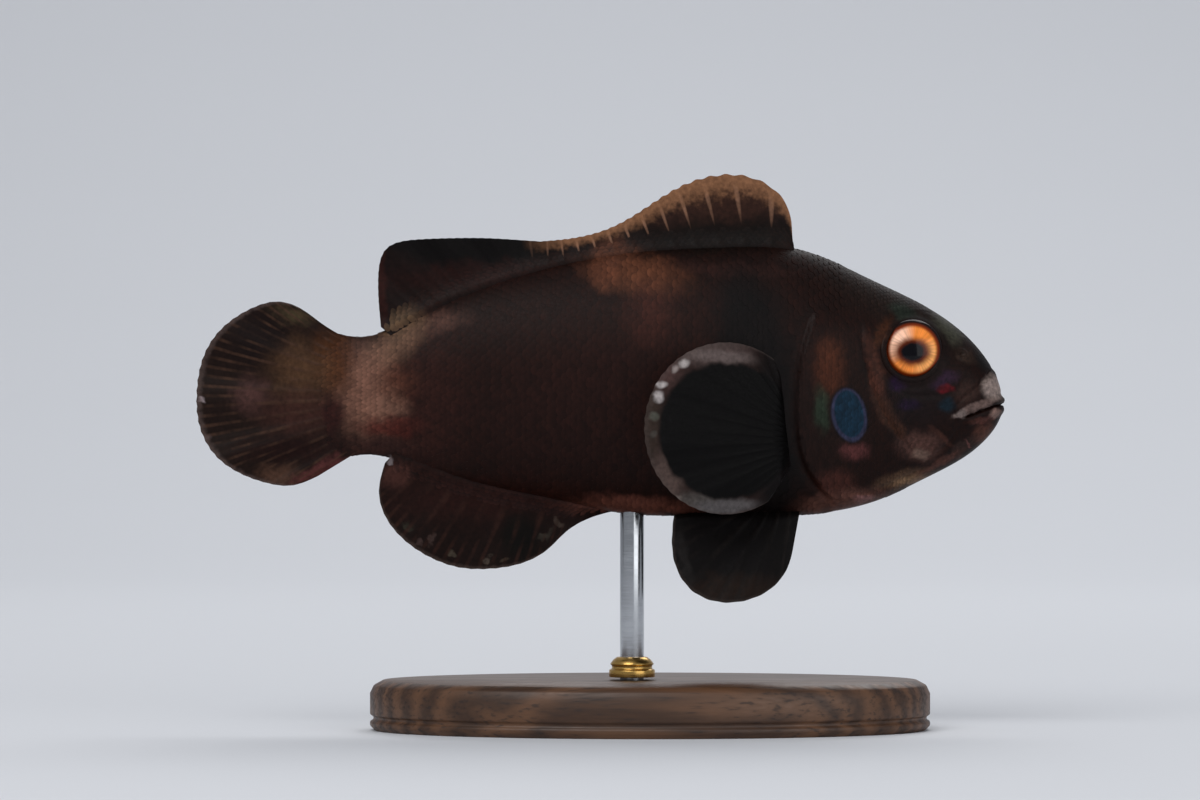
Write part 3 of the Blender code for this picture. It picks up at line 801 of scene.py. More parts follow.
def scale_pieces(name, groups, material, seed):
    """The scales as joined closed chips, in as many pieces as it takes."""
    dice = np.random.default_rng(seed)
    template = scale_template()
    shape = read(template.vertices, "co", 3)
    columns = []
    for scales in groups:
        chance = dice.random(len(scales.row))
        columns.append((*scales.shaped(shape, chance), scales.patch, chance))
    points, share, wide, patch, chance = map(np.concatenate, zip(*columns))
    parts = math.ceil(len(points) / SCALES_PER_PIECE)
    pieces = []
    for k, keep in enumerate(np.array_split(np.arange(len(points)), parts)):
        made = linked(f"{name}_{k + 1}" if parts > 1 else name, template.copy())
        copies = made.modifiers.new("copies", "ARRAY")
        copies.count = len(keep)
        copies.use_relative_offset = False
        copies.use_constant_offset = True
        mesh = applied(made).data
        mesh.vertices.foreach_set("co", place(points[keep]).ravel())
        spot = patch[keep, None] + np.stack([share[keep] - 0.5, wide[keep] / 2], axis=-1) * PATCH
        corners = read(mesh.loops, "vertex_index", 1, int)[:, 0]
        mesh.uv_layers.new(name="OFBake").data.foreach_set("uv", spot.reshape(-1, 2)[corners].ravel())
        # how far along its scale a point is, and a number that is the same all over one scale
        same = np.repeat(chance[keep], len(shape))
        for field, values in (("lie", share[keep].ravel()), ("chance", same)):
            mesh.attributes.new(field, "FLOAT", "POINT").data.foreach_set("value", values)
        mesh.materials.clear()
        mesh.materials.append(material)
        mesh.shade_smooth()
        mesh.update()
        pieces.append(made)
    bpy.data.meshes.remove(template)
    return pieces


def body_field(sheet, around, pitch, lift, start, end, seed):
    """Scales in columns round the body, each column half a scale off the last, from `start` to
    `end` mm behind the snout."""
    keys = np.interp(np.linspace(0, 1, RINGS + 1), RING_SHARES, RING_KEYS)
    girths = np.linalg.norm(np.diff(sheet.points, axis=1), axis=2).sum(axis=1)
    dice = np.random.default_rng(seed)
    rows, columns, lengths, widths, behinds = [], [], [], [], []
    behind, k = start, 0
    while behind < end:
        girth = np.interp(math.sqrt(behind), keys, girths)
        step = max(pitch, 0.46 * girth / around)  # never closer than the scales' breadth allows
        share = (np.arange(around) + 0.5 * (k % 2)) / around + dice.normal(0, SCATTER, around) / around
        spot = np.sqrt(behind + dice.normal(0, SCATTER, around))
        rows.append(np.interp(spot, keys, np.arange(RINGS + 1)))
        columns.append(share * SIDES)
        lengths.append(np.full(around, step * SCALE_LONG) * dice.uniform(0.95, 1.06, around))
        widths.append(np.full(around, SCALE_WIDE * girth / around))
        behinds.append(np.full(around, behind))
        behind += step
        k += 1
    row, column, length, width, behind = map(np.concatenate, (rows, columns, lengths, widths, behinds))
    patch = np.stack([0.02 + 0.96 * behind / BODY_LENGTH, 0.02 + 0.96 * np.mod(column / SIDES, 1)], axis=1)
    return Scales(sheet, row, column, length, width, np.full(len(row), lift), patch)


def ends_of(scales):
    """The middle of each scale and its front and rear ends, as x and z."""
    along, _ = scales.sheet.steps(scales.row, scales.column)
    reach = scales.length / 2 / along
    for way in (0, -1, 1):
        points, _ = scales.sheet.at(scales.row + way * reach, scales.column)
        yield points[:, 0], points[:, 2]


def trunk_scales(sheet, pitch, lift):
    """Everything behind the gill openings, and the nape."""
    field = body_field(sheet, TRUNK_ROUND, pitch, lift, start=12.0, end=TAIL_START + 2.6, seed=11)
    (x, z), front, _ = ends_of(field)
    off, _ = from_curve(GILL_OPENING, *front)
    keep = ((off < -OPENING_CLEAR) | (z > NAPE_UP)) & (x < NAPE_END)
    made = field.take(keep)
    size = 1 - 0.16 * smooth((x[keep] - NAPE_END + 5) / 5)  # smaller on the nape
    made.length = made.length * size
    made.width = made.width * size
    return made


def head_scales(sheet, pitch, lift):
    """Small scales on the gill covers, the cheeks and the crown."""
    field = body_field(sheet, HEAD_ROUND, pitch, lift, start=6.0, end=24.0, seed=12)
    (x, z), _, rear = ends_of(field)
    off, _ = from_curve(GILL_OPENING, *rear)
    plate, _ = from_curve(PREOPERCLE, x, z)
    front = np.random.default_rng(13).normal(0, 0.45, len(x))  # the bare face starts unevenly
    eye = eye_distance(x, z)
    lower = (z < NAPE_UP) & (off > 0.2) & (eye > 4.1) & (x + front < 30.6) & (z > -9.6)
    bare = 33.0 - 0.35 * (z - NAPE_UP)
    crown = (z >= NAPE_UP) & (x > NAPE_END - 0.3) & (x + front < bare) & (eye > 3.9)
    groove = np.abs(plate + 0.3) < 0.22
    keep = (lower | crown) & ~(groove & (z < 6))
    made = field.take(keep)
    # smaller towards the face
    x = x[keep]
    size = 1.16 - 0.5 * smooth((x - 22) / 10)
    made.length = made.length * size
    made.width = made.width * (1.08 - 0.24 * smooth((x - 22) / 10))
    made.lift = made.lift * size
    return made


def fin_scales(fin, reach, pitch, spacing, lift, band, seed):
    """Small scales up both sides of a fin's root, in rows that end unevenly `reach` mm out.
    `band` is where their patches start on the map."""
    dice = np.random.default_rng(seed)
    length = np.linalg.norm(fin.margin - fin.root, axis=1)
    middle = fin.root * 0.75 + fin.margin * 0.25  # a line a quarter of the way up
    arc = np.concatenate([[0], np.cumsum(np.linalg.norm(np.diff(middle, axis=0), axis=1))])
    made = []
    for way in (-1, 1):
        sheet = Sheet(fin.side(way))
        if np.mean(sheet.normals[..., 1]) * way < 0:
            sheet.normals = -sheet.normals
        count = int(arc[-1] / spacing)
        for k in range(int(reach / pitch) + 2):
            up = 0.5 + k * pitch
            along = (np.arange(count) + 0.25 + 0.5 * (k % 2)) * spacing + dice.normal(0, 0.04, count)
            column = np.interp(along, arc, np.arange(len(arc)))
            tall = np.interp(column, np.arange(len(length)), length)
            keep = up < np.minimum(reach * dice.uniform(0.7, 1.05, count) + ROOT_DEPTH, tall * 0.5)
            if not keep.any():
                continue
            column, tall = column[keep], tall[keep]
            size = np.full(len(column), 1 - 0.35 * up / (reach + ROOT_DEPTH))
            # each face of the fin has a strip of the map
            strip = band + 0.12 * (way > 0)
            spot = np.stack([0.03 + 0.9 * up / 8 + 0 * size, strip + 0.1 * column / fin.columns], axis=1)
            row = (up + dice.normal(0, 0.04, len(size))) / tall * fin.rows
            made.append(
                Scales(sheet, row, column, pitch * 3.0 * size, spacing * 1.15 * size**0.3, lift * size, spot)
            )
    return made


# ------------------------------------------------------------------ colours and nodes


def linear(code):
    """An sRGB hex colour as linear light."""
    parts = [int(code[i : i + 2], 16) / 255 for i in (1, 3, 5)]
    return tuple(p / 12.92 if p <= 0.04045 else ((p + 0.055) / 1.055) ** 2.4 for p in parts)


def add(tree, kind, inputs=None, out=0, **settings):
    """Adds a node, sets its properties, and sets or links its inputs. Returns one of its outputs,
    or the node itself if `out` is None."""
    made = tree.nodes.new(kind)
    for name, value in settings.items():
        setattr(made, name, value)
    for key, value in (inputs or {}).items():
        socket = made.inputs[key]
        if isinstance(value, bpy.types.NodeSocket):
            tree.links.new(value, socket)
        elif isinstance(value, tuple) and len(value) == 3 and socket.type == "RGBA":
            socket.default_value = (*value, 1)
        else:
            socket.default_value = value
    return made if out is None else made.outputs[out]


def new_material(name):
    """An empty material: its tree, and its shader already joined to the output."""
    made = bpy.data.materials.new(name)
    made.use_nodes = True
    made.node_tree.nodes.clear()
    shader = add(made.node_tree, "ShaderNodeBsdfPrincipled", out=None)
    add(made.node_tree, "ShaderNodeOutputMaterial", {"Surface": shader.outputs[0]}, out=None)
    return made, made.node_tree, shader


# ------------------------------------------------------------------ markings
# Each mark is a soft-edged ellipse seen from the side: centre x and z, half length and half
# height in mm, turn in degrees, softness as a share of its size, colour and strength.

HEAD_MARKS = (
    (30.0, 9.6, 8.0, 2.4, -28, 0.7, "#1a110d", 0.8),
    (34.6, 7.0, 1.6, 1.1, -38, 0.6, "#3a3a30", 0.8),  # greenish forehead
    (30.2, 8.8, 1.3, 0.8, -25, 0.6, "#1d241d", 0.8),
    (36.5, 4.4, 1.0, 0.6, -30, 0.6, "#2f221b", 0.8),
    (38.4, 3.9, 1.0, 0.9, -50, 0.6, "#0d0908", 0.9),  # dark top of the snout
    (36.5, 0.5, 1.2, 1.3, -20, 0.6, "#301e19", 0.8),
    (22.8, -1.0, 3.6, 6.6, 0, 0.6, "#160a07", 0.85),
    (22.7, 3.2, 1.4, 2.7, 0, 0.6, "#3d1e11", 0.9),  # upper gill cover
    (22.0, -0.9, 0.7, 2.1, 6, 0.6, "#1f2a1f", 0.8),
    (25.3, -5.0, 1.3, 0.8, 0, 0.6, "#4c2827", 0.8),
    (23.4, -8.3, 1.6, 1.4, 0, 0.6, "#3a1e18", 0.8),
    (24.4, -10.2, 4.2, 1.2, 8, 0.5, "#50332b", 0.9),  # lower edge of the gill cover
    (26.3, -9.8, 0.9, 0.35, 12, 0.6, "#6b4a47", 0.9),
    (30.4, -7.9, 2.8, 0.8, 14, 0.5, "#4c3728", 0.85),
    (30.7, -8.0, 1.4, 0.4, 16, 0.6, "#6b533e", 0.85),
    (31.8, -4.6, 2.0, 1.3, 0, 0.6, "#48302a", 0.9),
    (31.8, -5.3, 0.8, 0.5, 0, 0.6, "#6b564c", 0.8),
    (27.3, 2.6, 0.75, 3.6, 10, 0.5, "#3c2017", 0.9),  # rim of the cheek
    (28.7, -1.6, 0.75, 2.4, 32, 0.5, "#3a2217", 0.85),
    (28.0, 6.6, 0.6, 1.6, -30, 0.6, "#391e10", 0.8),
    (31.4, 0.2, 3.0, 2.6, 0, 0.6, "#130a0a", 0.9),
    (34.2, 2.1, 1.3, 0.7, 24, 0.6, "#281628", 0.85),  # violet patches below the eye
    (30.8, -0.5, 1.0, 0.5, 0, 0.6, "#170b1f", 0.85),
    (34.4, -0.5, 0.7, 0.6, 0, 0.6, "#0b1c25", 0.9),
    (29.6, 1.8, 0.8, 0.8, 0, 0.6, "#1c0b25", 0.85),
    (34.3, 1.1, 0.8, 0.4, 0, 0.5, "#4c0a11", 0.9),
    (31.5, 4.8, 3.4, 3.4, 0, 0.12, "#130806", 0.9),  # dark surround of the eye
    (38.2, -3.3, 1.2, 0.9, 40, 0.6, "#472a21", 0.85),  # chin
    (36.2, -4.6, 1.5, 0.5, 38, 0.6, "#2a1c18", 0.8),
    (37.4, -0.75, 2.3, 0.36, 20, 0.4, "#5c4b46", 0.9),  # edge of the upper jaw
    (35.7, -1.4, 0.7, 0.34, 10, 0.5, "#6b5f5b", 0.85),
    (39.2, 1.2, 1.2, 1.1, -30, 0.45, "#8a7a73", 0.95),  # upper lip
    (38.1, -1.95, 1.3, 0.32, 8, 0.5, "#44251e", 0.85),
    (39.4, -1.35, 0.6, 0.45, 20, 0.5, "#7b625a", 0.9),  # lower lip
    (36.7, -4.4, 0.65, 0.12, -41, 0.5, "#553430", 0.85),
    (34.0, -6.2, 2.2, 0.35, 28, 0.7, "#4a2c24", 0.8),  # lower edge of the jaw
    (33.9, -3.6, 1.5, 0.3, -38, 0.7, "#3a211a", 0.8),
)
GILL_SPOT = (
    (24.7, -1.5, 2.0, 2.9, 12, 0.12, "#100807", 0.9),
    (24.7, -1.5, 1.72, 2.65, 12, 0.08, "#2b2d42", 0.85),
    (24.7, -1.4, 1.42, 2.35, 12, 0.07, "#0c2231", 1.0),
)
TRUNK_MARKS = (
    (4.0, 2.0, 17.0, 8.0, 0, 0.8, "#220f0b", 0.6),
    (12.5, 13.0, 6.0, 0.7, -3, 0.6, "#26130f", 0.7),
    (15.2, 5.0, 3.6, 8.0, 8, 0.4, "#070404", 0.95),  # black behind the head
    (17.4, -5.0, 2.6, 9.0, 0, 0.4, "#070404", 0.95),
    (3.5, 12.6, 4.0, 1.7, -10, 0.85, "#54301f", 0.9),  # tan under the dorsal fin
    (0.8, 12.9, 1.3, 1.6, 0, 0.85, "#5a3322", 0.7),
    (5.0, 8.8, 2.2, 2.6, 0, 0.85, "#3a1c15", 0.6),
    (-16.4, 7.7, 2.4, 0.9, 10, 0.85, "#4d332a", 0.8),  # tan below the soft dorsal
    (-19.9, 7.5, 2.0, 1.5, 10, 0.8, "#55412e", 0.9),
    (-20.9, 4.9, 3.2, 1.4, 40, 0.8, "#614636", 0.9),  # tail stalk
    (-23.3, 0.8, 2.7, 4.0, 0, 0.75, "#67473a", 0.95),
    (-21.0, -0.7, 1.8, 1.2, -20, 0.85, "#6e4e40", 0.7),
    (-20.0, 1.9, 1.8, 1.5, 0, 0.85, "#45261a", 0.85),
    (-20.8, -2.6, 3.0, 0.9, 0, 0.6, "#3c140e", 0.8),
    (-21.5, -4.6, 3.4, 1.0, 0, 0.6, "#281511", 0.9),
    (3.0, -10.6, 6.0, 0.9, -2, 0.6, "#5a342a", 0.85),  # pale line of the belly
    (-17.0, 0.0, 3.0, 7.0, 0, 0.8, "#2c140f", 0.5),
)
TAIL_MARKS = (
    (-26.7, 4.0, 1.9, 2.8, 0, 0.6, "#3f210d", 0.9),
    (-30.0, 3.0, 2.6, 2.6, 0, 0.9, "#4d3523", 0.85),
    (-30.4, -1.2, 3.4, 2.0, 0, 0.7, "#3a211b", 0.7),
    (-26.7, -1.3, 1.1, 1.7, 0, 0.6, "#230a08", 0.85),
    (-35.0, 0.4, 1.6, 1.4, 0, 0.9, "#4a302c", 0.8),
    (-34.2, 6.4, 2.8, 2.2, 20, 0.6, "#140b0a", 0.8),
    (-30.7, 8.6, 1.7, 0.8, -14, 0.8, "#403523", 0.85),
    (-31.0, -5.0, 5.0, 1.2, 0, 0.7, "#1c0a08", 0.7),
    (-32.4, -7.6, 1.7, 0.9, 10, 0.85, "#4a3226", 0.8),
    (-28.2, -7.2, 3.2, 0.8, 25, 0.5, "#502a28", 0.9),  # pink lower edge
    (-39.8, -0.2, 0.45, 0.3, 0, 0.5, "#85787a", 0.95),
    (-39.4, -3.7, 0.4, 0.35, 0, 0.5, "#544749", 0.9),
)
DORSAL_MARKS = (
    (12.0, 19.0, 6.5, 1.8, 8, 0.6, "#301c15", 0.85),  # brown between the spines
    (11.5, 16.3, 8.0, 1.7, 2, 0.5, "#0c0604", 0.9),  # dark band at the root
    (-13.0, 16.5, 8.4, 3.4, 0, 0.25, "#060404", 0.95),  # the soft part is black
    (-14.0, 12.4, 7.0, 1.2, 4, 0.6, "#1e0b08", 0.8),
    (1.2, 15.0, 1.7, 1.3, 10, 0.7, "#44271b", 0.85),  # tan of the back runs on to the fin
    (-21.9, 11.5, 0.5, 4.0, 0, 0.6, "#2c130f", 0.8),
)
ANAL_MARKS = (
    (-12.0, -10.0, 9.0, 2.0, 0, 0.8, "#240f0b", 0.8),
    (-8.0, -13.6, 2.0, 2.4, 0, 0.6, "#080604", 0.9),
    (-20.3, -7.5, 1.4, 1.2, 0, 0.6, "#40251f", 0.8),
    (-20.8, -6.0, 0.35, 0.32, 0, 0.5, "#6c6262", 0.95),
)
ANAL_SPECKS = (
    (-16.9, -13.9, 0.3, 0.45, 0, 0.5, "#40312d", 0.8),
    (-18.2, -14.3, 0.3, 0.3, 0, 0.5, "#3c2d2a", 0.8),
    (-14.8, -15.3, 0.35, 0.3, -30, 0.5, "#423a30", 0.8),
    (-11.1, -16.0, 0.3, 0.3, 0, 0.5, "#4a4038", 0.8),
    (-9.4, -15.9, 0.4, 0.25, 0, 0.5, "#3c3228", 0.7),
    (-5.5, -13.5, 0.8, 0.35, 30, 0.5, "#352f28", 0.7),
    (-4.1, -12.4, 0.4, 0.4, 0, 0.5, "#3f342d", 0.7),
    (-19.3, -12.7, 0.5, 0.4, 0, 0.5, "#2e2b22", 0.7),
)
BODY_MARKS = TRUNK_MARKS + TAIL_MARKS + DORSAL_MARKS + ANAL_MARKS
PECTORAL_MARKS = (
    (5.6, 3.4, 2.4, 2.4, 40, 0.5, "#4a3532", 0.9),
    (10.2, 4.9, 4.4, 1.5, -4, 0.5, "#4a3d3a", 0.9),
    (11.6, 4.3, 3.4, 0.6, -5, 0.5, "#5c504d", 0.9),
    (5.0, -2.2, 0.9, 3.4, 0, 0.5, "#30251f", 0.9),
    (6.2, -8.0, 1.8, 3.4, -20, 0.5, "#4e3f3a", 0.9),
    (9.2, -10.4, 3.0, 1.3, 12, 0.5, "#47423f", 0.9),
    (12.2, -10.5, 3.4, 0.7, 3, 0.5, "#545050", 0.9),
    (19.6, -2.8, 4.6, 14.0, 0, 0.3, "#0a0606", 1.0),
    (12.5, -3.05, 6.75, 6.7, 0, 0.045, "#030202", 1.0),  # the black disc
    (8.3, 3.6, 0.52, 0.42, 25, 0.5, "#a39b98", 0.95),
    (7.4, 3.1, 0.42, 0.36, 40, 0.5, "#8a7f7b", 0.9),
    (6.0, 1.5, 0.5, 0.36, 0, 0.5, "#aaa2a0", 0.95),
    (5.7, 0.4, 0.5, 0.46, 0, 0.5, "#aaa2a0", 0.95),
    (5.3, -1.6, 0.42, 0.4, 0, 0.5, "#4a4a42", 0.9),
    (5.2, -3.4, 0.36, 0.36, 0, 0.5, "#403b36", 0.9),
    (6.0, -9.1, 0.8, 0.4, 0, 0.5, "#6e5c58", 0.85),
    (7.4, -9.9, 0.5, 0.42, 20, 0.5, "#6e645f", 0.85),
)
PELVIC_MARKS = (
    (13.0, -18.8, 5.0, 1.4, 0, 0.6, "#1e120c", 0.8),
    (8.3, -15.6, 0.7, 2.4, 8, 0.6, "#1f1c1b", 0.8),
)


def marked(tree, base, marks, uneven):
    """The base colour with soft marks painted over it, the same on both sides of the body.
    Their edges wander by up to half of `uneven` mm."""
    spot = add(tree, "ShaderNodeTexCoord", out="Object")
    # edges broken up over about 1.6 mm, roughly two scales
    noise = add(tree, "ShaderNodeTexNoise", {0: spot, "Scale": 1 / (1.6 * MM), "Detail": 3.0}, out=1)
    shift = add(tree, "ShaderNodeVectorMath", {0: noise, 1: (0.5, 0.5, 0.5)}, operation="SUBTRACT")
    moved = add(
        tree, "ShaderNodeVectorMath", {0: shift, 1: (uneven * MM,) * 3, 2: spot}, operation="MULTIPLY_ADD"
    )
    colour = base
    for x, z, wide, tall, turn, soft, code, strength in marks:
        # seen from the ellipse, whose edge is then 1 from its middle
        inside = add(
            tree, "ShaderNodeMapping",
            {"Vector": moved, "Location": (x * MM, 0, (z + AXIS) * MM),
             "Rotation": (0, -math.radians(turn), 0), "Scale": (wide * MM, 1, tall * MM)},
            vector_type="TEXTURE",
        )
        off = add(tree, "ShaderNodeVectorMath", {0: inside}, out=1, operation="LENGTH")
        amount = add(
            tree, "ShaderNodeMapRange",
            {0: off, 1: 1 + soft, 2: 1 - soft, 3: 0.0, 4: strength}, interpolation_type="SMOOTHSTEP",
        )
        colour = add(tree, "ShaderNodeMix", {0: amount, 6: colour, 7: linear(code)}, out=2, data_type="RGBA")
    return colour


def body_colour(tree, ground):
    """The markings of the body and of the fins that grow from it, over the ground colour."""
    colour = marked(tree, ground, BODY_MARKS, 2.0)
    return marked(tree, marked(tree, colour, HEAD_MARKS, 1.2), GILL_SPOT, 0.2)


def mottled(tree, colour, size, low, high):
    """The colour made lighter and darker in blotches of a size in mm."""
    spot = add(tree, "ShaderNodeTexCoord", out="Object")
    noise = add(tree, "ShaderNodeTexNoise", {0: spot, "Scale": 1 / (size * MM), "Detail": 4.0})
    level = add(tree, "ShaderNodeMapRange", {0: noise, 1: 0.3, 2: 0.7, 3: low, 4: high})
    return add(tree, "ShaderNodeVectorMath", {0: colour, 3: level}, operation="SCALE")


def roughened(tree, shader, size, low, high, bump):
    """Gloss that varies, and a fine bump, from one noise of a size in mm."""
    spot = add(tree, "ShaderNodeTexCoord", out="Object")
    noise = add(tree, "ShaderNodeTexNoise", {0: spot, "Scale": 1 / (size * MM), "Detail": 3.0})
    gloss = add(tree, "ShaderNodeMapRange", {0: noise, 1: 0.3, 2: 0.7, 3: low, 4: high})
    tree.links.new(gloss, shader.inputs["Roughness"])
    raised = add(tree, "ShaderNodeBump", {"Height": noise, "Strength": 0.35, "Distance": bump * MM})
    tree.links.new(raised, shader.inputs["Normal"])


def fish_skin(ground):
    """Painted skin under a satin varnish: nearly black brown with soft tan marks, fine mottling
    and a low sheen that shows the head's folds."""
    made, tree, shader = new_material("painted_fish_skin")
    colour = mottled(tree, body_colour(tree, ground), size=0.35, low=0.62, high=1.42)
    tree.links.new(colour, shader.inputs["Base Color"])
    roughened(tree, shader, size=0.22, low=0.38, high=0.56, bump=0.06)
    shader.inputs["Specular IOR Level"].default_value = 0.10
    return made


def fish_scales(ground):
    """The same paint on each scale, a little uneven from scale to scale, with painted shade where the
    scale in front overlaps it and a painted highlight at its free edge, so that the rows read as
    overlapping scales from close by and as skin from further off."""
    made, tree, shader = new_material("painted_fish_scales")
    # the markings' nodes have to be the first: with this many, they render black behind the others
    colour = body_colour(tree, ground)
    chance = add(tree, "ShaderNodeAttribute", out="Fac", attribute_name="chance")
    lie = add(tree, "ShaderNodeAttribute", out="Fac", attribute_name="lie")
    own = add(tree, "ShaderNodeMapRange", {0: chance, 3: 0.8, 4: 1.22})
    # painted shade and highlight: each scale darker where the scale in front overlaps it, paler towards its
    # free edge
    edge = add(tree, "ShaderNodeMapRange", {0: lie, 1: 0.5, 2: 0.98, 3: 0.75, 4: 1.4})
    both = add(tree, "ShaderNodeMath", {0: own, 1: edge}, operation="MULTIPLY")
    colour = add(tree, "ShaderNodeVectorMath", {0: colour, 3: both}, operation="SCALE")
    colour = mottled(tree, colour, size=0.5, low=0.8, high=1.2)
    tree.links.new(colour, shader.inputs["Base Color"])
    roughened(tree, shader, size=0.15, low=0.44, high=0.60, bump=0.01)
    shader.inputs["Specular IOR Level"].default_value = 0.11
    return made


# ground, rays, margin colour, how far the margin reaches in as a share, its strength, marks and
# how much their edges wander in mm
FIN_PAINT = {
    "dorsal_fin": ("#150b09", "#745442", "#80593f", 0.36, 0.95, DORSAL_MARKS, 2.4),
    "anal_fin": ("#150a07", "#2e1a14", "#40342f", 0.05, 0.7, ANAL_MARKS + ANAL_SPECKS, 2.4),
    "tail_fin": ("#1a0f0b", "#422d22", "#4e403c", 0.05, 0.7, TAIL_MARKS, 2.4),
    "pectoral_fin": ("#231613", None, "#4a403c", 0.05, 0.3, PECTORAL_MARKS, 0.9),
    "pelvic_fin": ("#080505", "#15100e", "#332b28", 0.04, 0.6, PELVIC_MARKS, 2.4),
}


def pale_spines(tree, wave, along, spiny):
    """Pale spines from the margin half way down, each narrowing to nothing at its lower end."""
    outer = add(tree, "ShaderNodeMapRange", {0: along, 1: 0.3, 2: 0.7})
    lines = add(tree, "ShaderNodeMath", {0: outer, 1: 0.2, 2: wave}, operation="MULTIPLY_ADD")
    lines = add(tree, "ShaderNodeMapRange", {0: lines, 1: 1.03, 2: 1.18})
    return add(tree, "ShaderNodeMath", {0: lines, 1: spiny}, operation="MULTIPLY")


def pale_rays(tree, beat, wave, along, spot):
    """One pale line on each ray, splitting in two further out and broken up in patches."""
    twice = add(tree, "ShaderNodeMath", {0: beat, 1: 2.0}, operation="MULTIPLY")
    split = add(tree, "ShaderNodeMath", {0: twice}, operation="COSINE")
    outer = add(tree, "ShaderNodeMapRange", {0: along, 1: 0.4, 2: 0.75})
    both = add(tree, "ShaderNodeMix", {0: outer, 2: wave, 3: split}, data_type="FLOAT")
    lines = add(tree, "ShaderNodeMapRange", {0: both, 1: 0.1, 2: 0.95, 3: 0.0, 4: 0.7})
    patchy = add(tree, "ShaderNodeTexNoise", {0: spot, "Scale": 1 / (2.4 * MM), "Detail": 3.0})
    broken = add(tree, "ShaderNodeMapRange", {0: patchy, 1: 0.42, 2: 0.62, 3: 0.1, 4: 1.0})
    return add(tree, "ShaderNodeMath", {0: lines, 1: broken}, operation="MULTIPLY")


def fin_paint(name, ground, ray, margin, reach, strength, marks, uneven):
    """Paint on a thin membrane over rays: satin, with a paler and broken margin. The black pectoral
    fin shows its rays by their shape alone."""
    made, tree, shader = new_material(f"painted_{name}")
    parts = add(tree, "ShaderNodeSeparateXYZ", {0: add(tree, "ShaderNodeUVMap", uv_map="Rays")}, out=None)
    number, along = parts.outputs[0], parts.outputs[1]
    spot = add(tree, "ShaderNodeTexCoord", out="Object")
    colour = marked(tree, linear(ground), marks, uneven)
    spines = name == "dorsal_fin"
    if spines:  # in the spiny part alone
        spiny = add(tree, "ShaderNodeMapRange", {0: number, 1: SPINY_END + 1, 2: SPINY_END - 2})
    if ray:
        # one wave for each ray, at its height on the ray itself
        beat = add(tree, "ShaderNodeMath", {0: number, 1: 2 * math.pi}, operation="MULTIPLY")
        wave = add(tree, "ShaderNodeMath", {0: beat}, operation="COSINE")
        lines = pale_spines(tree, wave, along, spiny) if spines else pale_rays(tree, beat, wave, along, spot)
        colour = add(tree, "ShaderNodeMix", {0: lines, 6: colour, 7: linear(ray)}, out=2, data_type="RGBA")
    noise = add(tree, "ShaderNodeTexNoise", {0: spot, "Scale": 1 / (0.5 * MM), "Detail": 3.0})
    share = add(tree, "ShaderNodeMath", {0: noise, 1: reach * 0.9, 2: along}, operation="MULTIPLY_ADD")
    rim = add(
        tree, "ShaderNodeMapRange", {0: share, 1: 1 - reach * 0.6, 2: 1 + reach * 0.3, 3: 0.0, 4: strength},
        interpolation_type="SMOOTHSTEP",
    )
    if spines:
        rim = add(tree, "ShaderNodeMath", {0: rim, 1: spiny}, operation="MULTIPLY")
    colour = add(tree, "ShaderNodeMix", {0: rim, 6: colour, 7: linear(margin)}, out=2, data_type="RGBA")
    colour = mottled(tree, colour, size=0.4, low=0.75, high=1.25)
    tree.links.new(colour, shader.inputs["Base Color"])
    roughened(tree, shader, size=0.2, low=0.4, high=0.58, bump=0.02)
    shader.inputs["Specular IOR Level"].default_value = 0.08
    return made


# ------------------------------------------------------------------ eyes

EYE_BACK = 9.4  # middle of an eye, behind the snout ...
EYE_UP = 4.9  # ... above the axis ...
EYE_OUT = 3.1  # ... and out to its side
EYE_GAP = 0.04  # the glass is this much smaller than the solid eye
EYE_RADIUS = 3.2 - EYE_GAP
EYE_DEPTH = 1.7 - EYE_GAP
EYE_TURN = (math.radians(4), math.radians(4))  # up and forward
IRIS_OUT = 2.42  # radius of the iris
PUPIL = (1.82, 1.38)  # half length and half height of the opening in the iris ...
PUPIL_OFF = (-0.07, -0.22)  # ... and where its middle lies from the middle of the iris
IRIS_HIGHLIGHT_WAY = (-0.87, 0.5, 0)  # up and back, where the painted highlight on the iris is pinkest


def eye_mesh(name, side):
    """A flattened ball spun from its outline, with a low cornea, its map flat across the front."""
    bm = bmesh.new()
    turns = np.linspace(0, math.pi, 41)
    around, out = np.sin(turns) * EYE_RADIUS, np.cos(turns) * EYE_DEPTH
    out = np.sign(out) * EYE_DEPTH * np.abs(out / EYE_DEPTH) ** 0.85  # a little fuller than round
    verts = [bm.verts.new((r * MM, o * MM, 0)) for r, o in zip(around, out)]
    edges = [bm.edges.new(pair) for pair in zip(verts, verts[1:])]
    spun(bm, verts, edges, (0, 1, 0), 72)
    bmesh.ops.recalc_face_normals(bm, faces=bm.faces)
    layer = bm.loops.layers.uv.new("Iris")
    for face in bm.faces:
        for loop in face.loops:
            # forward and up across the front of the eye, in mm
            loop[layer].uv = (loop.vert.co.x / MM, loop.vert.co.z / MM)
    if side < 0:
        bmesh.ops.scale(bm, verts=bm.verts, vec=(1, -1, 1))
    tilt = Matrix.Rotation(-side * EYE_TURN[1], 4, "Z") @ Matrix.Rotation(side * EYE_TURN[0], 4, "X")
    centre = Matrix.Translation(Vector(place((SNOUT - EYE_BACK, side * EYE_OUT, EYE_UP))))
    bmesh.ops.transform(bm, verts=bm.verts, matrix=centre @ tilt)
    return from_bmesh(name, bm, 180)


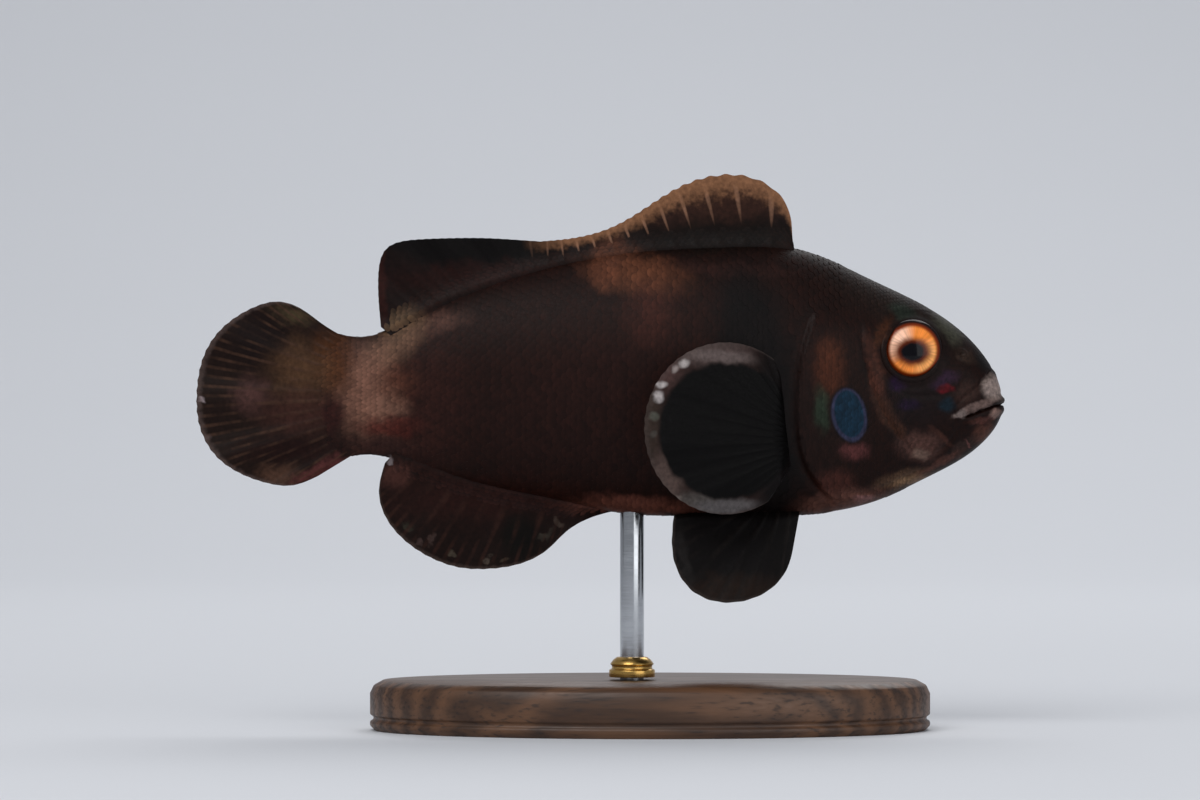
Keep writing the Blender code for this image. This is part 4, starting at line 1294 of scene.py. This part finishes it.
def eye_glass(iris, pupil):
    """Glass eye: a thin orange ring round a wide black pupil, painted behind a clear hard dome that
    catches the light."""
    made, tree, shader = new_material("painted_glass_eye")
    flat = add(tree, "ShaderNodeUVMap", uv_map="Iris")
    way = add(tree, "ShaderNodeVectorMath", {0: flat}, operation="NORMALIZE")
    uneven = add(tree, "ShaderNodeTexNoise", {0: flat, "Scale": 1.4, "Detail": 4.0})
    out = add(tree, "ShaderNodeVectorMath", {0: flat}, out=1, operation="LENGTH")
    hole = add(
        tree, "ShaderNodeMapping", {"Vector": flat, "Location": (*PUPIL_OFF, 0), "Scale": (*PUPIL, 1)},
        vector_type="TEXTURE",
    )
    hole = add(tree, "ShaderNodeVectorMath", {0: hole}, out=1, operation="LENGTH")
    hole = add(tree, "ShaderNodeMath", {0: uneven, 1: 0.22, 2: hole}, operation="MULTIPLY_ADD")
    # painted highlights on the ring: pinkish white at its upper rear and pale yellow at its lower front
    lean = add(tree, "ShaderNodeVectorMath", {0: way, 1: IRIS_HIGHLIGHT_WAY}, out=1, operation="DOT_PRODUCT")
    colour = iris
    for code, low, high in (("#ffd2b6", 0.3, 0.95), ("#ffb56a", -0.3, -0.95)):
        amount = add(
            tree, "ShaderNodeMapRange", {0: lean, 1: low, 2: high, 3: 0.0, 4: 0.8},
            interpolation_type="SMOOTHSTEP",
        )
        colour = add(tree, "ShaderNodeMix", {0: amount, 6: colour, 7: linear(code)}, out=2, data_type="RGBA")
    # fibres run out from the pupil
    fibre = add(tree, "ShaderNodeTexNoise", {0: way, "Scale": 11.0, "Detail": 4.0})
    level = add(tree, "ShaderNodeMapRange", {0: fibre, 1: 0.3, 2: 0.7, 3: 0.72, 4: 1.15})
    colour = add(tree, "ShaderNodeVectorMath", {0: colour, 3: level}, operation="SCALE")
    # the ring darkens to the pupil within it, and to its rim and the black surround outside it
    for base, reach, low, high in (
        (linear("#5a220a"), hole, 0.82, 1.38),
        (pupil, hole, 0.62, 0.92),
        (linear("#7a2c0c"), out, IRIS_OUT + 0.12, IRIS_OUT - 0.3),
        (linear("#140705"), out, IRIS_OUT + 0.42, IRIS_OUT + 0.05),
    ):
        amount = add(tree, "ShaderNodeMapRange", {0: reach, 1: low, 2: high}, interpolation_type="SMOOTHSTEP")
        colour = add(tree, "ShaderNodeMix", {0: amount, 6: base, 7: colour}, out=2, data_type="RGBA")
    tree.links.new(colour, shader.inputs["Base Color"])
    shader.inputs["Roughness"].default_value = 0.35
    shader.inputs["Specular IOR Level"].default_value = 0.0
    shader.inputs["Coat Weight"].default_value = 0.35
    shader.inputs["Coat Roughness"].default_value = 0.09
    return made


# ------------------------------------------------------------------ stand


def turned(name, outline, middle, steps, edge, segments, stretch=1.0):
    """A lathe-turned piece: (radius, height) points in mm spun about Z, its sharp rings rounded by
    `edge` mm, then stretched across into an oval."""
    bm = bmesh.new()
    verts = [bm.verts.new((r * MM, 0, z * MM)) for r, z in outline]
    edges = [bm.edges.new(pair) for pair in zip(verts, verts[1:])]
    spun(bm, verts, edges, (0, 0, 1), steps)
    bmesh.ops.recalc_face_normals(bm, faces=bm.faces)
    sharp = [e for e in bm.edges if e.calc_face_angle(0) > math.radians(35)]
    bmesh.ops.bevel(
        bm, geom=sharp, offset=edge * MM, segments=segments, profile=0.5, affect="EDGES", material=-1
    )
    bmesh.ops.scale(bm, verts=bm.verts, vec=(1, stretch, 1))
    bmesh.ops.translate(bm, verts=bm.verts, vec=(middle[0] * MM, middle[1] * MM, 0))
    return from_bmesh(name, bm, 50)


def measures(node):
    """The middle of a node's box, its half sizes, and the heights of its foot and top, in mm."""
    low, high = (np.array(corner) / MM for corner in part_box(node))
    return (low + high) / 2, (high - low) / 2, low[2], high[2]


def oiled_walnut(light, dark):
    """Oiled walnut, sanded: long wavy grain with short dark pores, and a soft low gloss that is
    duller along the pores."""
    made, tree, shader = new_material("oiled_walnut")
    spot = add(tree, "ShaderNodeTexCoord", out="Object")
    # growth rings about 2.2 mm apart, drawn out along the base
    drawn = add(
        tree, "ShaderNodeMapping", {"Vector": spot, "Scale": (0.09, 1.0, 0.8), "Rotation": (0.1, 0.05, 0.06)}
    )
    bend = add(tree, "ShaderNodeTexNoise", {0: drawn, "Scale": 1 / (9 * MM), "Detail": 4.0})
    across = add(tree, "ShaderNodeSeparateXYZ", {0: drawn}, out=1)
    spread = add(tree, "ShaderNodeMath", {0: bend, 1: 11 * MM, 2: across}, operation="MULTIPLY_ADD")
    beat = add(tree, "ShaderNodeMath", {0: spread, 1: 2 * math.pi / (2.2 * MM)}, operation="MULTIPLY")
    rings = add(tree, "ShaderNodeMath", {0: beat}, operation="SINE")
    # pores about 0.35 mm across, twenty times as long
    fine = add(
        tree, "ShaderNodeMapping", {"Vector": spot, "Scale": (0.05, 1.0, 1.0), "Rotation": (0, 0, 0.06)}
    )
    pores = add(tree, "ShaderNodeTexNoise", {0: fine, "Scale": 1 / (0.35 * MM), "Detail": 2.0})
    amount = add(tree, "ShaderNodeMapRange", {0: rings, 1: -1.0, 2: 1.0, 3: 0.15, 4: 0.75})
    amount = add(tree, "ShaderNodeMath", {0: pores, 1: 0.5, 2: amount}, operation="MULTIPLY_ADD")
    colour = add(tree, "ShaderNodeMix", {0: amount, 6: light, 7: dark}, out=2, data_type="RGBA")
    hollow = add(tree, "ShaderNodeMapRange", {0: pores, 1: 0.58, 2: 0.68, 3: 0.0, 4: 0.6})
    colour = add(tree, "ShaderNodeMix", {0: hollow, 6: colour, 7: linear("#1c0f08")}, out=2, data_type="RGBA")
    tree.links.new(colour, shader.inputs["Base Color"])
    gloss = add(tree, "ShaderNodeMapRange", {0: pores, 1: 0.3, 2: 0.7, 3: 0.38, 4: 0.55})
    tree.links.new(gloss, shader.inputs["Roughness"])
    bump = add(tree, "ShaderNodeBump", {"Height": pores, "Strength": 0.3, "Distance": 0.05 * MM})
    tree.links.new(bump, shader.inputs["Normal"])
    return made


def turned_metal(name, colour, low, high):
    """Metal polished on the lathe: fine rings round it that draw its highlights out, a tone that
    shifts slowly, and a gloss that varies a little."""
    made, tree, shader = new_material(name)
    spot = add(tree, "ShaderNodeTexCoord", out="Object")
    # tool marks about 0.15 mm apart along the axis
    drawn = add(tree, "ShaderNodeMapping", {"Vector": spot, "Scale": (0.06, 0.06, 1.0)})
    marks = add(tree, "ShaderNodeTexNoise", {0: drawn, "Scale": 1 / (0.15 * MM), "Detail": 2.0})
    tone = add(tree, "ShaderNodeTexNoise", {0: spot, "Scale": 1 / (3 * MM), "Detail": 2.0})
    level = add(tree, "ShaderNodeMapRange", {0: tone, 1: 0.3, 2: 0.7, 3: 0.86, 4: 1.08})
    shade = add(tree, "ShaderNodeVectorMath", {0: colour, 3: level}, operation="SCALE")
    tree.links.new(shade, shader.inputs["Base Color"])
    gloss = add(tree, "ShaderNodeMapRange", {0: marks, 1: 0.3, 2: 0.7, 3: low, 4: high})
    tree.links.new(gloss, shader.inputs["Roughness"])
    bump = add(tree, "ShaderNodeBump", {"Height": marks, "Strength": 0.15, "Distance": 0.01 * MM})
    tree.links.new(bump, shader.inputs["Normal"])
    shader.inputs["Metallic"].default_value = 1.0
    return made


# ------------------------------------------------------------------ stage

SWEEP_BEND = 0.4  # radius of the curve between the floor and the wall behind, in metres
SWEEP_HALF = 1.6  # half its width


def sweep_mesh(name):
    """A sheet of paper drawn out sideways from its outline: the floor, the curve and the wall."""
    bend = [
        (0.5 + SWEEP_BEND * math.cos(t), SWEEP_BEND * (1 + math.sin(t)))
        for t in np.radians(np.linspace(-90, 0, 13))
    ]
    bm = bmesh.new()
    verts = [bm.verts.new((-SWEEP_HALF, y, z)) for y, z in ((-1.2, 0.0), *bend, (0.9, 1.8))]
    edges = [bm.edges.new(pair) for pair in zip(verts, verts[1:])]
    grown = bmesh.ops.extrude_edge_only(bm, edges=edges)["geom"]
    moved = [item for item in grown if isinstance(item, bmesh.types.BMVert)]
    bmesh.ops.translate(bm, verts=moved, vec=(2 * SWEEP_HALF, 0, 0))
    return from_bmesh(name, bm, 60)


def pale_paper(colour):
    """Background paper: pale and matt, so that it takes only a soft shadow."""
    made, _, shader = new_material("pale_paper_sweep")
    shader.inputs["Base Color"].default_value = (*colour, 1)
    shader.inputs["Roughness"].default_value = 0.9
    return made


# ------------------------------------------------------------------ settings


class ClownfishSettings(bpy.types.PropertyGroup):
    """Sizes and colours of the fish."""

    coat_depth: FloatProperty(
        name="Coat depth", description="How far the skin lies inside the solid body, for the scales",
        default=0.15 * MM, min=0.0, max=0.4 * MM, precision=5, unit="LENGTH",
    )
    scale_pitch: FloatProperty(
        name="Scale spacing", description="From one column of trunk scales to the next",
        default=0.50 * MM, min=0.3 * MM, max=2 * MM, precision=5, unit="LENGTH",
    )
    head_pitch: FloatProperty(
        name="Head scale spacing", description="From one column of head scales to the next",
        default=0.32 * MM, min=0.2 * MM, max=2 * MM, precision=5, unit="LENGTH",
    )
    scale_lift: FloatProperty(
        name="Scale lift", description="How far a trunk scale's free edge stands off the skin",
        default=0.12 * MM, min=0.02 * MM, max=0.4 * MM, precision=5, unit="LENGTH",
    )
    ground: FloatVectorProperty(
        name="Ground colour", description="Colour between the markings",
        default=linear("#150603"), size=3, min=0, max=1, subtype="COLOR",
    )
    iris: FloatVectorProperty(
        name="Iris", description="Colour of the ring round the pupil",
        default=linear("#ff9440"), size=3, min=0, max=1, subtype="COLOR",
    )
    pupil: FloatVectorProperty(
        name="Pupil", description="Colour of the pupil",
        default=linear("#06050a"), size=3, min=0, max=1, subtype="COLOR",
    )


class ClownfishStandSettings(bpy.types.PropertyGroup):
    """Sizes and colours of the stand."""

    groove: FloatProperty(
        name="Base groove", description="Depth of the groove turned round the foot of the base",
        default=0.35 * MM, min=0.0, max=1 * MM, precision=5, unit="LENGTH",
    )
    wood_light: FloatVectorProperty(
        name="Light wood", description="Paler colour of the grain",
        default=linear("#6d4a30"), size=3, min=0, max=1, subtype="COLOR",
    )
    wood_dark: FloatVectorProperty(
        name="Dark wood", description="Darker colour of the grain",
        default=linear("#38210f"), size=3, min=0, max=1, subtype="COLOR",
    )
    brass: FloatVectorProperty(
        name="Brass", description="Colour of the ferrule",
        default=linear("#c9a25c"), size=3, min=0, max=1, subtype="COLOR",
    )
    steel: FloatVectorProperty(
        name="Steel", description="Colour of the rod",
        default=linear("#b9bcc0"), size=3, min=0, max=1, subtype="COLOR",
    )


class ClownfishStageSettings(bpy.types.PropertyGroup):
    """Floor, light and camera."""

    floor: FloatVectorProperty(
        name="Floor", description="Colour of the floor and the sweep behind it",
        default=linear("#d8dade"), size=3, min=0, max=1, subtype="COLOR",
    )
    key: FloatProperty(
        name="Key light", description="Power of the main light", default=3.0, min=0, unit="POWER"
    )
    distance: FloatProperty(
        name="Camera distance", description="From the camera to the middle of the fish",
        default=0.6, min=0.2, max=3, unit="LENGTH",
    )
    width: FloatProperty(
        name="Width of view", description="What the camera takes in across the fish",
        default=0.12, min=0.05, max=1, unit="LENGTH",
    )


# ------------------------------------------------------------------ operators

FLESH = [n for n in frame["nodes"] if not n.startswith(("eye_", "stand_"))]


class CLOWNFISH_OT_skin(bpy.types.Operator):
    """Build one skin over the body, the eyelids and every fin"""

    bl_idname = "clownfish.skin"
    bl_label = "Skin and fins"

    def execute(self, context):
        settings = context.scene.clownfish
        materials = {"skin": fish_skin(tuple(settings.ground))}
        for name, paint in FIN_PAINT.items():
            materials[name] = fin_paint(name, *paint)
        skin = build_skin(materials, settings.coat_depth / MM)
        finished(skin, "skin", *FLESH)
        return {"FINISHED"}


class CLOWNFISH_OT_scales(bpy.types.Operator):
    """Lay the scales over the trunk, head and roots of the fins"""

    bl_idname = "clownfish.scales"
    bl_label = "Scales"

    def execute(self, context):
        settings = context.scene.clownfish
        paint = fish_scales(tuple(settings.ground))
        sheet = Sheet(skin_grid(settings.coat_depth / MM), wraps=True)
        if sheet.normals[RINGS // 2, SIDES // 4, 1] > 0:
            sheet.normals = -sheet.normals
        lift = settings.scale_lift / MM
        trunk = trunk_scales(sheet, settings.scale_pitch / MM, lift)
        head = head_scales(sheet, settings.head_pitch / MM, lift * 0.55)
        pieces = scale_pieces("scales_trunk", [trunk], paint, seed=1)
        pieces += scale_pieces("scales_head", [head], paint, seed=2)
        fins = {fin.name: fin for fin in all_fins()}
        lift *= 0.6
        sheath = fin_scales(fins["dorsal"], reach=1.7, pitch=0.36, spacing=0.62, lift=lift, band=0.35, seed=4)
        sheath += fin_scales(fins["anal"], reach=1.4, pitch=0.38, spacing=0.6, lift=lift, band=0.65, seed=5)
        pieces += scale_pieces("scales_fins", sheath, paint, seed=3)
        for piece in pieces:
            finished(piece, "skin")
        return {"FINISHED"}


class CLOWNFISH_OT_eyes(bpy.types.Operator):
    """Build both eyes"""

    bl_idname = "clownfish.eyes"
    bl_label = "Eyes"

    def execute(self, context):
        settings = context.scene.clownfish
        glass = eye_glass(tuple(settings.iris), tuple(settings.pupil))
        for side, name in ((-1, "right"), (1, "left")):
            eye = linked(f"glass_eye_{name}", eye_mesh(f"glass_eye_{name}", side))
            eye.data.materials.append(glass)
            finished(eye, "eye", f"eye_{name}")
        return {"FINISHED"}


class CLOWNFISH_OT_stand(bpy.types.Operator):
    """Build the base, the ferrule and the rod"""

    bl_idname = "clownfish.stand"
    bl_label = "Stand"

    def execute(self, context):
        settings = context.scene.clownfish_stand
        middle, half, _, high = measures("stand_base")
        long, groove = half[0], settings.groove / MM
        outline = (
            (0, 0), (long - 0.5, 0), (long, 0.5), (long, 0.9), (long - groove, 1.1), (long - groove, 1.4),
            (long, 1.6), (long, high - 1.3), (long - 0.38, high - 0.5), (long - 1.3, high), (0, high),
        )
        oval = half[1] / half[0]
        base = turned("walnut_base", outline, middle, steps=144, edge=0.12, segments=2, stretch=oval)
        middle, half, low, high = measures("stand_ferrule")
        wide = half[0]
        outline = (
            (0, low), (wide, low), (wide, low + 0.7), (wide - 0.28, low + 0.85), (wide - 0.28, low + 1.15),
            (wide - 0.1, low + 1.3), (wide - 0.45, high - 0.25), (wide - 0.8, high), (0, high),
        )
        ferrule = turned("brass_ferrule", outline, middle, steps=72, edge=0.06, segments=2)
        middle, half, low, high = measures("stand_rod")
        outline = ((0, low), (half[0], low), (half[0], high), (0, high))
        rod = turned("steel_rod", outline, middle, steps=64, edge=0.2, segments=3)
        wood = oiled_walnut(tuple(settings.wood_light), tuple(settings.wood_dark))
        brass = turned_metal("turned_brass", tuple(settings.brass), low=0.2, high=0.34)
        steel = turned_metal("polished_steel", tuple(settings.steel), low=0.14, high=0.26)
        finishes = (
            (base, "stand_wood", "stand_base", wood),
            (ferrule, "stand_brass", "stand_ferrule", brass),
            (rod, "stand_steel", "stand_rod", steel),
        )
        for mesh, slot, node, finish in finishes:
            mesh.materials.append(finish)
            finished(linked(mesh.name, mesh), slot, node)
        return {"FINISHED"}


class CLOWNFISH_OT_stage(bpy.types.Operator):
    """Set the floor, the light and the camera"""

    bl_idname = "clownfish.stage"
    bl_label = "Stage"

    def execute(self, context):
        scene = context.scene
        settings = scene.clownfish_stage
        sweep = linked("stage_sweep", sweep_mesh("stage_sweep"))
        sweep.data.materials.append(pale_paper(tuple(settings.floor)))
        sweep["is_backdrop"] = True

        target = Vector((0, 0, AXIS * MM))
        # where each softbox stands, its width, and its power beside the main light's
        lights = (
            ("key", (-0.25, -0.55, 0.55), 0.5, 1.0),
            ("fill", (0.5, -0.6, 0.12), 0.6, 0.6),
            ("back", (0.1, 0.5, 0.6), 0.5, 0.8),
        )
        for name, spot, size, share in lights:
            light = bpy.data.lights.new(name, "AREA")
            light.energy = settings.key * share
            light.size = size
            lamp = linked(name, light)
            lamp.location = spot
            lamp.rotation_euler = (target - Vector(spot)).to_track_quat("-Z", "Y").to_euler()
        world = bpy.data.worlds.new("studio")
        world.use_nodes = True
        background = world.node_tree.nodes["Background"]
        background.inputs["Color"].default_value = (0.9, 0.93, 1.0, 1)
        background.inputs["Strength"].default_value = 0.35
        scene.world = world

        camera = bpy.data.cameras.new("camera")
        camera.lens = camera.sensor_width * settings.distance / settings.width
        camera.clip_start = 0.01
        scene.camera = linked("camera", camera)
        scene.camera.location = (0, -settings.distance, AXIS * MM)
        scene.camera.rotation_euler = (math.pi / 2, 0, 0)
        scene.view_settings.view_transform = "Standard"
        return {"FINISHED"}


class CLOWNFISH_PT_panel(bpy.types.Panel):
    """Lists the pieces and their settings"""

    bl_label = "Clownfish"
    bl_idname = "CLOWNFISH_PT_panel"
    bl_space_type = "VIEW_3D"
    bl_region_type = "UI"
    bl_category = "Clownfish"

    def draw(self, context):
        scene = context.scene
        groups = (
            (scene.clownfish, (CLOWNFISH_OT_skin, CLOWNFISH_OT_scales, CLOWNFISH_OT_eyes)),
            (scene.clownfish_stand, (CLOWNFISH_OT_stand,)),
            (scene.clownfish_stage, (CLOWNFISH_OT_stage,)),
        )
        for settings, operators in groups:
            box = self.layout.box()
            for name in settings.__annotations__:
                box.prop(settings, name)
            for operator in operators:
                box.operator(operator.bl_idname)


CLASSES = (
    ClownfishSettings,
    ClownfishStandSettings,
    ClownfishStageSettings,
    CLOWNFISH_OT_skin,
    CLOWNFISH_OT_scales,
    CLOWNFISH_OT_eyes,
    CLOWNFISH_OT_stand,
    CLOWNFISH_OT_stage,
    CLOWNFISH_PT_panel,
)


def register():
    for made in CLASSES:
        bpy.utils.register_class(made)
    bpy.types.Scene.clownfish = PointerProperty(type=ClownfishSettings)
    bpy.types.Scene.clownfish_stand = PointerProperty(type=ClownfishStandSettings)
    bpy.types.Scene.clownfish_stage = PointerProperty(type=ClownfishStageSettings)


def unregister():
    del bpy.types.Scene.clownfish_stage
    del bpy.types.Scene.clownfish_stand
    del bpy.types.Scene.clownfish
    for made in reversed(CLASSES):
        bpy.utils.unregister_class(made)


def main():
    register()
    bpy.ops.clownfish.skin()
    bpy.ops.clownfish.scales()
    bpy.ops.clownfish.eyes()
    bpy.ops.clownfish.stand()
    bpy.ops.clownfish.stage()
    boxes = {"cad": CAD_BOX, "visual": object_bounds()}
    {name: [list(corner) for corner in box] for name, box in boxes.items()}


if __name__ == "__main__":
    main()
